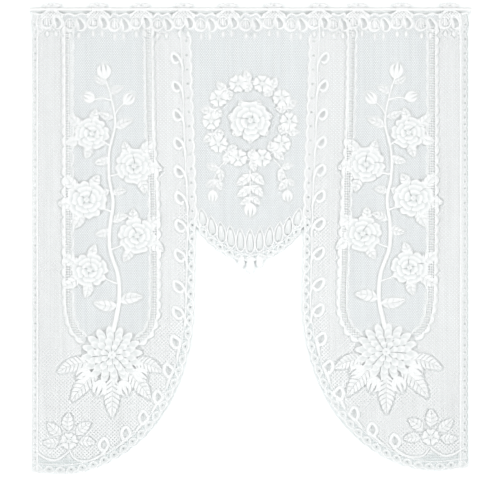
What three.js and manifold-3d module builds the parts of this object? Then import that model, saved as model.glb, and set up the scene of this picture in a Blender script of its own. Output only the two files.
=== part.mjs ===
// A lace curtain, knitted in one piece, hung on a thin rod by ten tabs of its own heading: two long
// side panels with full round inner corners, and a short drop between them.
// Millimetres, +Z up, X along the rod, -Y towards the room. The origin is the middle of the rod.
import * as THREE from "three";
import { mergeVertices } from "three/addons/utils/BufferGeometryUtils.js";
import Module from "manifold-3d";

const wasm = await Module();
wasm.setup();

// Rod
const ROD = { radius: 6, length: 1512, sides: 24 };

// Cloth
const THICKNESS = 1.2;
const CUT_DEPTH = 70; // how deep, front to back, a cutting shape is

// The two side panels. Distances in x are from the middle of the rod, outwards.
const PANELS = [
  {
    side: -1,
    outerX: 748,
    lineTopX: 224,
    dropX: 190,
    edgeX: 197,
    footX: 650,
    curveTopZ: -995,
    footZ: -1586,
    cornerZ: -1579,
  },
  {
    side: 1,
    outerX: 746,
    lineTopX: 221,
    dropX: 187,
    edgeX: 181,
    footX: 642,
    curveTopZ: -985,
    footZ: -1574,
    cornerZ: -1564,
  },
];
const OUTER_WAVER = { depth: 3.5, pitch: 62, fades: 170 }; // the outer edge wavers below the heading

// The short drop between them
const DROP = { cornerZ: -715, depth: 147, roundness: 1.6, steps: 16 };
const DROP_PENDANTS = [
  { x: -31, top: -845, half: 12, foot: -889 },
  { x: 0, top: -850, half: 15, foot: -909 },
  { x: 31, top: -845, half: 12, foot: -889 },
];

// Scallops: how long and how deep each one is where the edge starts and where it ends
const PANEL_SCALLOPS = { pitchStart: 49, pitchEnd: 40, depthStart: 3.5, depthEnd: 6.5, steps: 4 };
const DROP_SCALLOPS = { pitchStart: 41, pitchEnd: 41, depthStart: 5, depthEnd: 5, steps: 4 };

// Openwork that is cut through. An inset is how far inside the edge the hole's centre lies.
const SIDE_EYELETS = { inset: 10.5, pitch: 24.4, top: -52, radius: 3.1, corners: 4 };
const SCALLOP_EYELETS = { inset: 9, radius: 3.3, corners: 4 };
const LINE_EYELETS = { pitch: 48.5, top: -100 };
const TAB_EYELETS = { z: 13.5, radius: 2.6, corners: 4 };
const MEDALLION_GAPS = { underTabZ: -72, betweenZ: -84, radius: 3.4, corners: 4 };

// Tabs, left to right: where each sits, how far the cloth billows beside it, and how low the top
// edge dips to its left and to its right.
const TABS = [
  { x: -680, bow: 6, dipLeft: -17, dipRight: -18 },
  { x: -522, bow: 8, dipLeft: -18, dipRight: -27 },
  { x: -375, bow: 6.5, dipLeft: -18, dipRight: -29 },
  { x: -228, bow: 7.5, dipLeft: -29, dipRight: -21 },
  { x: -77, bow: 6, dipLeft: -21, dipRight: -27 },
  { x: 80, bow: 7, dipLeft: -29, dipRight: -29 },
  { x: 235, bow: 8.5, dipLeft: -21, dipRight: -26 },
  { x: 368, bow: 6, dipLeft: -26, dipRight: -22 },
  { x: 519, bow: 7.5, dipLeft: -18, dipRight: -18 },
  { x: 683, bow: 5.5, dipLeft: -18, dipRight: -14 },
];
const DIP_REACH = 42; // the top edge is at its dip this far from a tab's middle
const SEAT_Z = -24; // the sheet starts here under a tab
const CREST = { z: -14, reach: 20, notch: 7 }; // the top edge half way between two tabs
const END_Z = -12; // the top edge at the cloth's two ends

// A tab from the side: a drop-shaped loop round the rod with a frill standing above it.
const LOOP = { inner: 6.8, outer: 8, innerFoot: -20, outerFoot: -30, arcSteps: 3 };
const FRILL_TOP = 22;
// A tab from the front: half its width at each height.
const TAB_OUTLINE = [
  { z: -30, reach: 39 },
  { z: -17, reach: 37 },
  { z: -8, reach: 27 },
  { z: 1, reach: 22 },
  { z: 9, reach: 27 },
  { z: 16, reach: 32 },
  { z: FRILL_TOP, reach: 19 },
];
const TAB_WIDTH = 80; // wider than the tab, to be cut to its front outline

// Folds: waves that hang from the tabs, ease towards the foot, and lean a little as they fall
const FOLD = { top: -30, full: -100, footShare: 0.55 };
const SWAY = { depth: 4.5, width: 640, height: 1500, phase: 0.6 };
const FOOT_Z = PANELS[0].footZ;

// The grid that carries the folds
const GRID = {
  halfWidth: 762,
  columns: 56,
  rows: [-8, -30, -60, -100, -350, -700, -1100, -1600],
};

const clamp01 = (t) => Math.min(1, Math.max(0, t));
const smooth = (t) => clamp01(t) ** 2 * (3 - 2 * clamp01(t));
const mix = (a, b, t) => a + (b - a) * t;
const point = (x, z) => new THREE.Vector2(x, z);

// How far the cloth billows at x: to and fro between the tabs, and nothing at a tab.
function billowAt(x) {
  const bays = TABS.length - 1;
  const next = TABS.findIndex((tab) => tab.x > x);
  const i = next < 0 ? bays - 1 : Math.max(0, next - 1);
  const t = (x - TABS[i].x) / (TABS[i + 1].x - TABS[i].x);
  const side = i % 2 === 0 ? -1 : 1;
  return side * mix(TABS[i].bow, TABS[i + 1].bow, smooth(t)) * Math.sin(Math.PI * t);
}

// The cloth's middle surface: how far behind the rod's plane it is at a point of the front view.
function foldAt(x, z) {
  const started = smooth((FOLD.top - z) / (FOLD.top - FOLD.full));
  const eased = mix(1, FOLD.footShare, smooth((FOLD.full - z) / (FOLD.full - FOOT_Z)));
  const turn = 2 * Math.PI * (x / SWAY.width + z / SWAY.height) + SWAY.phase;
  return started * (billowAt(x) * eased + SWAY.depth * Math.sin(turn) * smooth(z / FOOT_Z));
}

// How far out the cloth's outer edge wavers at a height.
function waverAt(z) {
  const { depth, pitch, fades } = OUTER_WAVER;
  return depth * Math.sin((2 * Math.PI * z) / pitch) * (1 - smooth(-z / fades));
}

// One panel's free edge, from the drop's corner down and round to its outer foot.
function panelPath({ side, outerX, dropX, edgeX, footX, curveTopZ, footZ, cornerZ }) {
  const straightEnd = point(side * edgeX, curveTopZ);
  const startAngle = side < 0 ? 0 : Math.PI;
  const reach = footX - edgeX;
  const height = curveTopZ - footZ;
  const path = new THREE.CurvePath();
  path.add(new THREE.LineCurve(point(side * dropX, DROP.cornerZ), straightEnd));
  path.add(
    new THREE.EllipseCurve(side * footX, curveTopZ, reach, height, startAngle, 1.5 * Math.PI, side < 0),
  );
  path.add(new THREE.LineCurve(point(side * footX, footZ), point(side * outerX, cornerZ)));
  return path;
}

// The drop's lower edge, from its left corner to its right one.
function dropPath() {
  const points = [];
  for (let i = 0; i <= DROP.steps; i += 1) {
    const angle = (Math.PI * i) / DROP.steps;
    const across = Math.abs(Math.cos(angle)) ** (2 / DROP.roundness);
    const down = Math.sin(angle) ** (2 / DROP.roundness);
    const x = angle < Math.PI / 2 ? -across * PANELS[0].dropX : across * PANELS[1].dropX;
    points.push(point(x, DROP.cornerZ - DROP.depth * down));
  }
  const path = new THREE.CurvePath();
  path.add(new THREE.SplineCurve(points));
  return path;
}

// A path's edge in scallops, bulging to the side that turn gives, and the eyelet in each scallop.
function scalloped(path, sizes, turn) {
  const length = path.getLength();
  const starts = [0];
  while (starts[starts.length - 1] < length) {
    const last = starts[starts.length - 1];
    starts.push(last + mix(sizes.pitchStart, sizes.pitchEnd, smooth(last / length)));
  }
  const fit = length / starts[starts.length - 1];
  const offsetAt = (distance, out) => {
    const tangent = path.getTangent(clamp01(distance / length));
    const place = path.getPoint(clamp01(distance / length));
    return point(place.x + turn * tangent.y * out, place.y - turn * tangent.x * out);
  };
  const edge = [];
  const eyelets = [];
  for (let n = 0; n + 1 < starts.length; n += 1) {
    const from = starts[n] * fit;
    const to = starts[n + 1] * fit;
    const depth = mix(sizes.depthStart, sizes.depthEnd, from / length);
    for (let i = 0; i < sizes.steps; i += 1) {
      const t = i / sizes.steps;
      edge.push(offsetAt(mix(from, to, t), depth * Math.sin(Math.PI * t)));
    }
    eyelets.push(offsetAt((from + to) / 2, -SCALLOP_EYELETS.inset));
  }
  edge.push(path.getPoint(1));
  return { edge, eyelets };
}

// The top edge, left to right: level under each tab, low beside it and cresting between two.
function topEdge() {
  const edge = [point(-PANELS[0].outerX, END_Z)];
  TABS.forEach((tab, n) => {
    edge.push(point(tab.x - DIP_REACH, tab.dipLeft));
    edge.push(point(tab.x - DIP_REACH / 2, SEAT_Z));
    edge.push(point(tab.x + DIP_REACH / 2, SEAT_Z));
    edge.push(point(tab.x + DIP_REACH, tab.dipRight));
    if (n + 1 === TABS.length) return;
    const middle = (tab.x + TABS[n + 1].x) / 2;
    edge.push(point(middle - CREST.reach, CREST.z));
    edge.push(point(middle, CREST.z - CREST.notch));
    edge.push(point(middle + CREST.reach, CREST.z));
  });
  edge.push(point(PANELS[1].outerX, END_Z));
  return edge;
}

// One outer side, from the top down to the foot's corner, without the two ends.
function outerSide({ side, outerX }) {
  const edge = [];
  const step = OUTER_WAVER.pitch / 4;
  for (let z = END_Z - step; z > -OUTER_WAVER.fades; z -= step) {
    edge.push(point(side * (outerX + waverAt(z)), z));
  }
  return edge;
}

// The cloth's whole outline in the front view.
function clothOutline(leftEdge, dropEdge, rightEdge) {
  return new THREE.Shape([
    ...leftEdge.slice(1).reverse(),
    ...dropEdge,
    ...rightEdge.slice(1),
    ...outerSide(PANELS[1]).reverse(),
    ...topEdge().reverse(),
    ...outerSide(PANELS[0]),
  ]);
}

// One hanging drop at the middle of the lower edge.
function pendantOutline({ x, top, half, foot }) {
  const shape = new THREE.Shape();
  shape.moveTo(x, foot);
  shape.quadraticCurveTo(x + half * 1.5, mix(foot, top, 0.3), x + half * 0.6, top);
  shape.lineTo(x - half * 0.6, top);
  shape.quadraticCurveTo(x - half * 1.5, mix(foot, top, 0.3), x, foot);
  return shape;
}

// A small hole with few corners.
function holeOutline({ x, y }, radius, corners) {
  const points = [];
  for (let i = 0; i < corners; i += 1) {
    const angle = (2 * Math.PI * i) / corners + Math.PI / 2;
    points.push(point(x + radius * Math.cos(angle), y + radius * Math.sin(angle)));
  }
  return new THREE.Shape(points);
}

// The eyelets down one outer side.
function sideEyelets({ side, outerX, cornerZ }) {
  const { inset, pitch, top, radius, corners } = SIDE_EYELETS;
  const holes = [];
  for (let z = top; z > cornerZ + 1.4 * pitch; z -= pitch) {
    holes.push(holeOutline(point(side * (outerX + waverAt(z) - inset), z), radius, corners));
  }
  return holes;
}

// The eyelets in the line that goes on up from one panel's free edge to the heading.
function lineEyelets({ side, lineTopX, dropX }) {
  const { radius, corners, inset } = SCALLOP_EYELETS;
  const holes = [];
  for (let z = DROP.cornerZ + LINE_EYELETS.pitch / 2; z < LINE_EYELETS.top; z += LINE_EYELETS.pitch) {
    const x = side * mix(lineTopX, dropX + inset, z / DROP.cornerZ);
    holes.push(holeOutline(point(x, z), radius, corners));
  }
  return holes;
}

// The gaps in the heading: one in each tab's frill, and one under each twin-lobed medallion.
function headingGaps() {
  const { underTabZ, betweenZ, radius, corners } = MEDALLION_GAPS;
  const holes = [];
  TABS.forEach((tab, n) => {
    holes.push(holeOutline(point(tab.x, TAB_EYELETS.z), TAB_EYELETS.radius, TAB_EYELETS.corners));
    holes.push(holeOutline(point(tab.x, underTabZ), radius, corners));
    if (n + 1 === TABS.length) return;
    holes.push(holeOutline(point((tab.x + TABS[n + 1].x) / 2, betweenZ), radius, corners));
  });
  return holes;
}

// A closed three.js geometry as a solid that can be cut and joined.
function solidFrom(geometry) {
  geometry.deleteAttribute("normal");
  geometry.deleteAttribute("uv");
  const merged = mergeVertices(geometry, 1e-4);
  const vertProperties = merged.attributes.position.array;
  const triVerts = new Uint32Array(merged.index.array);
  return new wasm.Manifold(new wasm.Mesh({ numProp: 3, vertProperties, triVerts }));
}

// A solid as a three.js geometry.
function geometryFrom(solid) {
  const mesh = solid.getMesh();
  const geometry = new THREE.BufferGeometry();
  geometry.setAttribute("position", new THREE.BufferAttribute(mesh.vertProperties, mesh.numProp));
  geometry.setIndex(new THREE.BufferAttribute(mesh.triVerts, 1));
  geometry.computeVertexNormals();
  return geometry;
}

// Outlines of the front view, run from front to back.
function prism(shapes, depth, curveSegments = 3) {
  const geometry = new THREE.ExtrudeGeometry(shapes, { depth, curveSegments, bevelEnabled: false });
  geometry.rotateX(Math.PI / 2);
  geometry.translate(0, depth / 2, 0);
  return solidFrom(geometry);
}

// A sheet that follows the folds and is wider and longer than the cloth: a box, bent.
function foldedSheet() {
  const { halfWidth, columns, rows } = GRID;
  const geometry = new THREE.BoxGeometry(2 * halfWidth, THICKNESS, 1, columns, 1, rows.length - 1);
  const position = geometry.attributes.position;
  for (let i = 0; i < position.count; i += 1) {
    const row = Math.round((0.5 - position.getZ(i)) * (rows.length - 1));
    const x = position.getX(i);
    position.setXYZ(i, x, position.getY(i) + foldAt(x, rows[row]), rows[row]);
  }
  return solidFrom(geometry);
}

// A tab seen from the side: the loop's wall, the hollow in it, and the frill.
function tabSection() {
  const { inner, outer, innerFoot, outerFoot } = LOOP;
  const half = THICKNESS / 2;
  const outerTangent = Math.asin(outer / -outerFoot);
  const innerTangent = Math.asin(inner / -innerFoot);
  const frillFoot = Math.acos(half / outer);
  const section = new THREE.Shape();
  section.absarc(0, 0, outer, -outerTangent, frillFoot, false);
  section.lineTo(half, FRILL_TOP);
  section.lineTo(-half, FRILL_TOP);
  section.absarc(0, 0, outer, Math.PI - frillFoot, Math.PI + outerTangent, false);
  section.lineTo(-half, outerFoot);
  section.lineTo(half, outerFoot);
  const hollow = new THREE.Path();
  hollow.absarc(0, 0, inner, -innerTangent, Math.PI + innerTangent, false);
  hollow.lineTo(0, innerFoot);
  section.holes.push(hollow);
  return section;
}

// One tab: its section run along the rod, and cut to its front outline.
function tabSolid(tab) {
  const band = new THREE.ExtrudeGeometry(tabSection(), {
    depth: TAB_WIDTH,
    curveSegments: LOOP.arcSteps,
    bevelEnabled: false,
  });
  const across = new THREE.Vector3(1, 0, 0);
  const back = new THREE.Vector3(0, 1, 0);
  const up = new THREE.Vector3(0, 0, 1);
  band.applyMatrix4(new THREE.Matrix4().makeBasis(back, up, across));
  band.translate(tab.x - TAB_WIDTH / 2, 0, 0);
  const rightSide = TAB_OUTLINE.map(({ z, reach }) => point(tab.x + reach, z));
  const leftSide = TAB_OUTLINE.map(({ z, reach }) => point(tab.x - reach, z)).reverse();
  return solidFrom(band).intersect(prism(new THREE.Shape([...rightSide, ...leftSide]), CUT_DEPTH));
}

// The whole cloth: the folded sheet cut to its outline, joined to its tabs, with its openwork cut.
function laceCurtain() {
  const [leftPanel, rightPanel] = PANELS;
  const left = scalloped(panelPath(leftPanel), PANEL_SCALLOPS, leftPanel.side);
  const right = scalloped(panelPath(rightPanel), PANEL_SCALLOPS, rightPanel.side);
  const drop = scalloped(dropPath(), DROP_SCALLOPS, 1);
  const outline = prism(clothOutline(left.edge, drop.edge, right.edge), CUT_DEPTH)
    .add(prism(DROP_PENDANTS.map(pendantOutline), CUT_DEPTH));
  const edgeEyelets = [...left.eyelets.slice(0, -1), ...right.eyelets.slice(0, -1), ...drop.eyelets];
  const holes = [
    ...edgeEyelets.map((spot) => holeOutline(spot, SCALLOP_EYELETS.radius, SCALLOP_EYELETS.corners)),
    ...PANELS.flatMap(sideEyelets),
    ...PANELS.flatMap(lineEyelets),
    ...headingGaps(),
  ];
  let cloth = foldedSheet().intersect(outline);
  TABS.forEach((tab) => {
    cloth = cloth.add(tabSolid(tab));
  });
  cloth = cloth.subtract(prism(holes, CUT_DEPTH));
  const material = new THREE.MeshStandardMaterial({ color: 0xf2f5f4, roughness: 0.9, metalness: 0 });
  const mesh = new THREE.Mesh(geometryFrom(cloth), material);
  mesh.name = "lace_curtain";
  return mesh;
}

// The plain round rod, along X.
function rod() {
  const geometry = new THREE.CylinderGeometry(ROD.radius, ROD.radius, ROD.length, ROD.sides);
  const material = new THREE.MeshStandardMaterial({ color: 0xf7f7f5, roughness: 0.35, metalness: 0 });
  const mesh = new THREE.Mesh(geometry, material);
  mesh.rotation.z = Math.PI / 2;
  mesh.name = "rod";
  return mesh;
}

const curtainOnRod = new THREE.Group();
curtainOnRod.add(laceCurtain(), rod());
export default curtainOnRod;
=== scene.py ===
"""A knitted lace curtain on its thin rod: the net, the worked motifs, the heading, light and camera.

Sizes are millimetres in the front view, x to the right and z up, and become metres in the meshes.
"""

import logging
import math
from collections.abc import Callable, Iterable, Sequence
from dataclasses import dataclass, field
from enum import Enum

import bpy
import numpy as np
from bpy.types import ColorRamp, Material, Mesh, Node, NodeSocket, NodeTree, Object
from mathutils.geometry import delaunay_2d_cdt
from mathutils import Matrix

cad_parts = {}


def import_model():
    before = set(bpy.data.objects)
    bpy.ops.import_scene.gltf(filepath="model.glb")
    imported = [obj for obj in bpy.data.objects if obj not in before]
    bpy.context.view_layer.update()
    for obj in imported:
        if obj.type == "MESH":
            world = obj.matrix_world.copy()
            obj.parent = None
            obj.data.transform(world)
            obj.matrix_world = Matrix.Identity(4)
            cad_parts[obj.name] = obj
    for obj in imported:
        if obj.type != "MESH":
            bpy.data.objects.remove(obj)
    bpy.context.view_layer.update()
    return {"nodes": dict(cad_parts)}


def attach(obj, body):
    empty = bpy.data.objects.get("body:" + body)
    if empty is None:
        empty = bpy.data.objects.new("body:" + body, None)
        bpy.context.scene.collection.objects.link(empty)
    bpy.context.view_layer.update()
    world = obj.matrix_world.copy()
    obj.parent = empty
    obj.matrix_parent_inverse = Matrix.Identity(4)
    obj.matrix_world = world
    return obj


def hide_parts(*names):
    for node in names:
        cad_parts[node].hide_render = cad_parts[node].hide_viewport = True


LOG = logging.getLogger("lace_curtain")
MM = 0.001
BODY = "root"
CHART_SQUARE = 3.425  # the width of one square of the knitter's chart
CHART_MIDDLE = (250.5, 9.5)  # the chart's column and row at the middle of the rod
RUNG_PITCH = 8.6  # how far apart the garlands' rungs are, on the threads of the filet behind them

Points = np.ndarray  # (n, 2), x and z in mm
Bend = Callable[[np.ndarray, np.ndarray], np.ndarray]  # gives the y of a surface from x and z, in mm
Form = Callable[[NodeTree, Node], NodeSocket]  # makes a form's nodes and gives its geometry


def smooth(t: np.ndarray) -> np.ndarray:
    """Ease from 0 to 1."""
    t = np.clip(t, 0.0, 1.0)
    return t * t * (3 - 2 * t)


def mix(a: float, b: float, t: np.ndarray) -> np.ndarray:
    """Blend from a to b."""
    return a + (b - a) * t


def chart(column: float, row: float) -> Points:
    """Turn a place on the knitter's chart into x and z in mm."""
    return np.array([column - CHART_MIDDLE[0], CHART_MIDDLE[1] - row]) * CHART_SQUARE


def charted(places: Iterable[tuple[float, float]]) -> Points:
    """Turn several places on the chart into x and z in mm."""
    return np.array([chart(*place) for place in places])


def around(middle: Sequence[float], angle: float, across: float, up: float) -> tuple[float, float]:
    """The chart place on an oval, at an angle in degrees anticlockwise from the right."""
    way = math.radians(angle)
    return middle[0] + across * math.cos(way), middle[1] - up * math.sin(way)


def turned(points: Points, angle: float) -> Points:
    """Turn points about the origin, anticlockwise as seen from the room, in degrees."""
    c, s = math.cos(math.radians(angle)), math.sin(math.radians(angle))
    return points @ np.array([[c, s], [-s, c]])


def between(one: Points, other: Points) -> Points:
    """The closed outline of what lies between two lines that run the same way."""
    return np.vstack([one, other[::-1]])


# The cloth and how it hangs


@dataclass(frozen=True)
class Tab:
    """One tab of the heading: its place, the billow beside it, and the dips of the top edge."""

    x: float
    bow: float
    dip_left: float
    dip_right: float


TABS = (
    Tab(-680, 6, -17, -18),
    Tab(-522, 8, -18, -27),
    Tab(-375, 6.5, -18, -29),
    Tab(-228, 7.5, -29, -21),
    Tab(-77, 6, -21, -27),
    Tab(80, 7, -29, -29),
    Tab(235, 8.5, -21, -26),
    Tab(368, 6, -26, -22),
    Tab(519, 7.5, -18, -18),
    Tab(683, 5.5, -18, -14),
)


@dataclass(frozen=True)
class Drape:
    """The folds that hang from the tabs, ease towards the foot and lean a little as they fall."""

    top: float = -30
    full: float = -100
    foot: float = -1586
    foot_share: float = 0.55
    sway_depth: float = 4.5
    sway_width: float = 640
    sway_height: float = 1500
    sway_phase: float = 0.6
    pleat_depth: float = 0.8
    pleat_width: float = 47.0
    pleat_foot_share: float = 0.35

    def billow(self, x: np.ndarray) -> np.ndarray:
        """Find how far the cloth bellies between the tabs, just under the heading.

        Args:
            x: places along the rod, in mm.

        Returns:
            How far it stands behind the rod's plane at each place, in mm.
        """
        at = np.array([tab.x for tab in TABS], float)
        bow = np.array([tab.bow for tab in TABS], float)
        bay = np.clip(np.searchsorted(at, x, side="right") - 1, 0, len(TABS) - 2)
        t = (x - at[bay]) / (at[bay + 1] - at[bay])
        side = np.where(bay % 2 == 0, -1.0, 1.0)
        return side * mix(bow[bay], bow[bay + 1], smooth(t)) * np.sin(np.pi * t)

    def pleat(self, x: np.ndarray, z: np.ndarray) -> np.ndarray:
        """How deep the fine upright pleats are, which wander aside and are weaker in places."""
        wandered = x + 26 * np.sin(x / 83.0) + 9 * np.sin(z / 210.0 + x / 150.0)
        strength = 0.6 + 0.4 * np.sin(x / 121.0)
        return self.pleat_depth * np.sin(2 * np.pi * wandered / self.pleat_width) * strength

    def fold(self, x: np.ndarray, z: np.ndarray) -> np.ndarray:
        """Find how far the cloth stands behind the rod's plane.

        Args:
            x: places along the rod, in mm.
            z: heights, in mm.

        Returns:
            The y of the cloth's middle at each place, in mm.
        """
        started = smooth((self.top - z) / (self.top - self.full))
        eased = mix(1.0, self.foot_share, smooth((self.full - z) / (self.full - self.foot)))
        turn = 2 * np.pi * (x / self.sway_width + z / self.sway_height) + self.sway_phase
        sway = self.sway_depth * np.sin(turn) * smooth(z / self.foot)
        pleat = self.pleat(x, z) * mix(1.0, self.pleat_foot_share, smooth(z / self.foot))
        return started * (self.billow(x) * eased + sway + pleat)


DRAPE = Drape()


class Line:
    """A line in the front view that can be asked for places along it, in mm."""

    def __init__(self, points: Points) -> None:
        """Keep the points and how far along the line each one lies."""
        self.points = np.asarray(points, float)
        steps = np.linalg.norm(np.diff(self.points, axis=0), axis=1)
        self.run = np.concatenate([[0.0], np.cumsum(steps)])

    @property
    def length(self) -> float:
        """The line's length."""
        return float(self.run[-1])

    def at(self, distance: np.ndarray) -> Points:
        """The places at these distances from the line's start."""
        return np.stack([np.interp(distance, self.run, self.points[:, k]) for k in (0, 1)], axis=-1)

    def across(self, distance: np.ndarray) -> Points:
        """The unit vector to the right of the line's way at each distance."""
        ahead = self.at(np.asarray(distance) + 1.5) - self.at(np.asarray(distance) - 1.5)
        ahead /= np.maximum(np.linalg.norm(ahead, axis=-1, keepdims=True), 1e-9)
        return np.stack([ahead[..., 1], -ahead[..., 0]], axis=-1)

    def beside(self, distance: np.ndarray, out: np.ndarray) -> Points:
        """The places that lie out to the right of the line at each distance."""
        return self.at(distance) + self.across(distance) * np.asarray(out)[..., None]

    def evenly(self, count: int) -> "Line":
        """The same line in evenly spaced points."""
        return Line(self.at(np.linspace(0, self.length, count)))

    def moved(self, out: float, step: float = 6.0) -> "Line":
        """The line moved out to its right."""
        distance = np.linspace(0, self.length, max(3, int(self.length / step)))
        return Line(self.beside(distance, np.full(distance.shape, out)))


def curve_through(knots: Sequence, count: int, closed: bool = False) -> Line:
    """A smooth line through some points.

    Args:
        knots: the points that it passes, in mm.
        count: how many evenly spaced points it gets.
        closed: whether it ends where it starts.

    Returns:
        The line.
    """
    k = np.asarray(knots, float)
    if closed:
        k = np.vstack([k[-1], k, k[0], k[1]])
    else:
        k = np.vstack([2 * k[0] - k[1], k, 2 * k[-1] - k[-2]])
    t = np.linspace(0, 1, 14, endpoint=False)[:, None]
    pieces = []
    for a, b, c, d in zip(k, k[1:], k[2:], k[3:]):
        square = 2 * a - 5 * b + 4 * c - d
        cube = 3 * b - a - 3 * c + d
        pieces.append(0.5 * (2 * b + (c - a) * t + square * t**2 + cube * t**3))
    return Line(np.vstack([*pieces, k[-2:-1]])).evenly(count)


@dataclass(frozen=True)
class Scallops:
    """An edge in shallow scallops, each with an eyelet, along a line."""

    line: Line
    turn: int
    pitch_start: float
    pitch_end: float
    depth_start: float
    depth_end: float
    eyelet_inset: float = 9.0

    def starts(self) -> np.ndarray:
        """How far along the line each scallop starts, with the line's end last."""
        length = self.line.length
        starts = [0.0]
        while starts[-1] < length:
            share = float(smooth(starts[-1] / length))
            starts.append(starts[-1] + mix(self.pitch_start, self.pitch_end, share))
        return np.array(starts) * length / starts[-1]

    def edge(self, inset: float = 0.0, steps: int = 8, flatten: float = 1.0) -> Line:
        """The scalloped line.

        Args:
            inset: how far inside the edge it runs, in mm.
            steps: how many points each scallop gets.
            flatten: the share of the scallops' depth that it keeps.

        Returns:
            The line, from start to end.
        """
        starts = self.starts()
        t = np.arange(steps) / steps
        along = np.concatenate([a + (b - a) * t for a, b in zip(starts, starts[1:])] + [starts[-1:]])
        depth = np.repeat(mix(self.depth_start, self.depth_end, starts[:-1] / self.line.length), steps)
        bulge = np.append(depth * np.tile(np.sin(np.pi * t), len(starts) - 1), 0.0) * flatten
        return Line(self.line.beside(along, self.turn * (bulge - inset)))

    def eyelets(self) -> Points:
        """The eyelets' middles."""
        starts = self.starts()
        middle = (starts[:-1] + starts[1:]) / 2
        return self.line.beside(middle, np.full(middle.shape, -self.turn * self.eyelet_inset))


@dataclass(frozen=True)
class Panel:
    """One of the two long side panels. Distances in x are outwards from the rod's middle."""

    side: int
    outer_x: float
    line_top_x: float
    drop_x: float
    edge_x: float
    foot_x: float
    curve_top_z: float
    foot_z: float
    corner_z: float
    band_width: float
    eyelet_inset: float = 10.5
    drop_corner_z: float = -715.0
    side_top: float = -52.0
    side_pitch: float = 24.4
    side_step: float = 7.75
    free_pitches: tuple = (49, 40)
    free_depths: tuple = (3.5, 6.5)
    upper_pitch: float = 48.5
    upper_count: int = 13
    upper_inset: float = 9.0
    upper_depths: tuple = (6.5, 7.0)
    line_top_z: float = -100.0
    waver_depth: float = 3.5
    waver_length: float = 62
    waver_end: float = 170

    def free_path(self) -> Line:
        """Draw the free edge without its scallops.

        Returns:
            The line, from the drop's corner round to the outer foot.
        """
        angle = np.linspace(0, np.pi / 2, 90)
        reach = self.foot_x - self.edge_x
        height = self.curve_top_z - self.foot_z
        x = self.foot_x - reach * np.cos(angle)
        z = self.curve_top_z - height * np.sin(angle)
        straight = np.linspace(0, 1, 30)[:-1, None]
        corner = np.array([self.drop_x, self.drop_corner_z])
        upper = corner + (np.array([self.edge_x, self.curve_top_z]) - corner) * straight
        foot = np.array([self.foot_x, self.foot_z])
        lower = foot + (np.array([self.outer_x, self.corner_z]) - foot) * np.linspace(0, 1, 12)[1:, None]
        points = np.vstack([upper, np.column_stack([x, z]), lower])
        points[:, 0] *= self.side
        return Line(points)

    def free_edge(self) -> Scallops:
        """The scalloped free edge."""
        return Scallops(self.free_path(), self.side, *self.free_pitches, *self.free_depths)

    def upper_eyelet_x(self, z: np.ndarray) -> np.ndarray:
        """Where the upper line of eyelets runs at a height."""
        share = np.asarray(z) / self.drop_corner_z
        return self.side * mix(self.line_top_x, self.drop_x + self.upper_inset, share)

    def upper_eyelets(self) -> Points:
        """The eyelets of the line that goes on up from the free edge to the heading."""
        z = np.arange(self.drop_corner_z + self.upper_pitch / 2, self.line_top_z, self.upper_pitch)
        return np.column_stack([self.upper_eyelet_x(z), z])

    def upper_edge(self) -> Scallops:
        """The scalloped line beside the drop, from the corner up to the heading."""
        z = np.linspace(self.drop_corner_z, self.drop_corner_z + self.upper_count * self.upper_pitch, 60)
        line = Line(np.column_stack([self.upper_eyelet_x(z) - self.side * self.upper_inset, z]))
        return Scallops(line, -self.side, self.upper_pitch, self.upper_pitch, *self.upper_depths)

    def waver(self, z: np.ndarray) -> np.ndarray:
        """How far out the outer edge wavers at a height, just under the heading."""
        wave = self.waver_depth * np.sin(2 * np.pi * z / self.waver_length)
        return wave * (1 - smooth(-z / self.waver_end))

    def outer_line(self, inset: float, top: float = -12.0) -> Line:
        """A line down the outer side, inset from the edge."""
        z = np.append(np.arange(top, self.corner_z, -self.side_step), self.corner_z)
        return Line(np.column_stack([self.side * (self.outer_x + self.waver(z) - inset), z]))

    def side_eyelets(self) -> Points:
        """The eyelets down the outer side."""
        z = np.arange(self.side_top, self.corner_z + 1.4 * self.side_pitch, -self.side_pitch)
        return np.column_stack([self.side * (self.outer_x + self.waver(z) - self.eyelet_inset), z])

    def fit(self, points: Points) -> Points:
        """Move a design that is charted for the left panel to this one.

        Args:
            points: x and z in mm on the left panel.

        Returns:
            The places on this panel, mirrored where it is the right one.
        """
        if self is LEFT:
            return points
        points = np.asarray(points, float)
        x, z = -points[..., 0], points[..., 1] * self.corner_z / LEFT.corner_z
        levels = [0, -LEFT.drop_corner_z, -LEFT.curve_top_z]
        inner = [np.interp(-z, levels, [p.line_top_x, p.drop_x, p.edge_x]) for p in (LEFT, self)]
        width = (self.outer_x - inner[1]) / (LEFT.outer_x - inner[0])
        return np.stack([self.outer_x - (LEFT.outer_x - x) * width, z], axis=-1)


LEFT = Panel(
    side=-1,
    outer_x=748,
    line_top_x=224,
    drop_x=190,
    edge_x=197,
    foot_x=650,
    curve_top_z=-995,
    foot_z=-1586,
    corner_z=-1579,
    band_width=17.5,
)
RIGHT = Panel(
    side=1,
    outer_x=746,
    line_top_x=221,
    drop_x=187,
    edge_x=181,
    foot_x=642,
    curve_top_z=-985,
    foot_z=-1574,
    corner_z=-1564,
    band_width=26,
)
PANELS = (LEFT, RIGHT)


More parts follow.
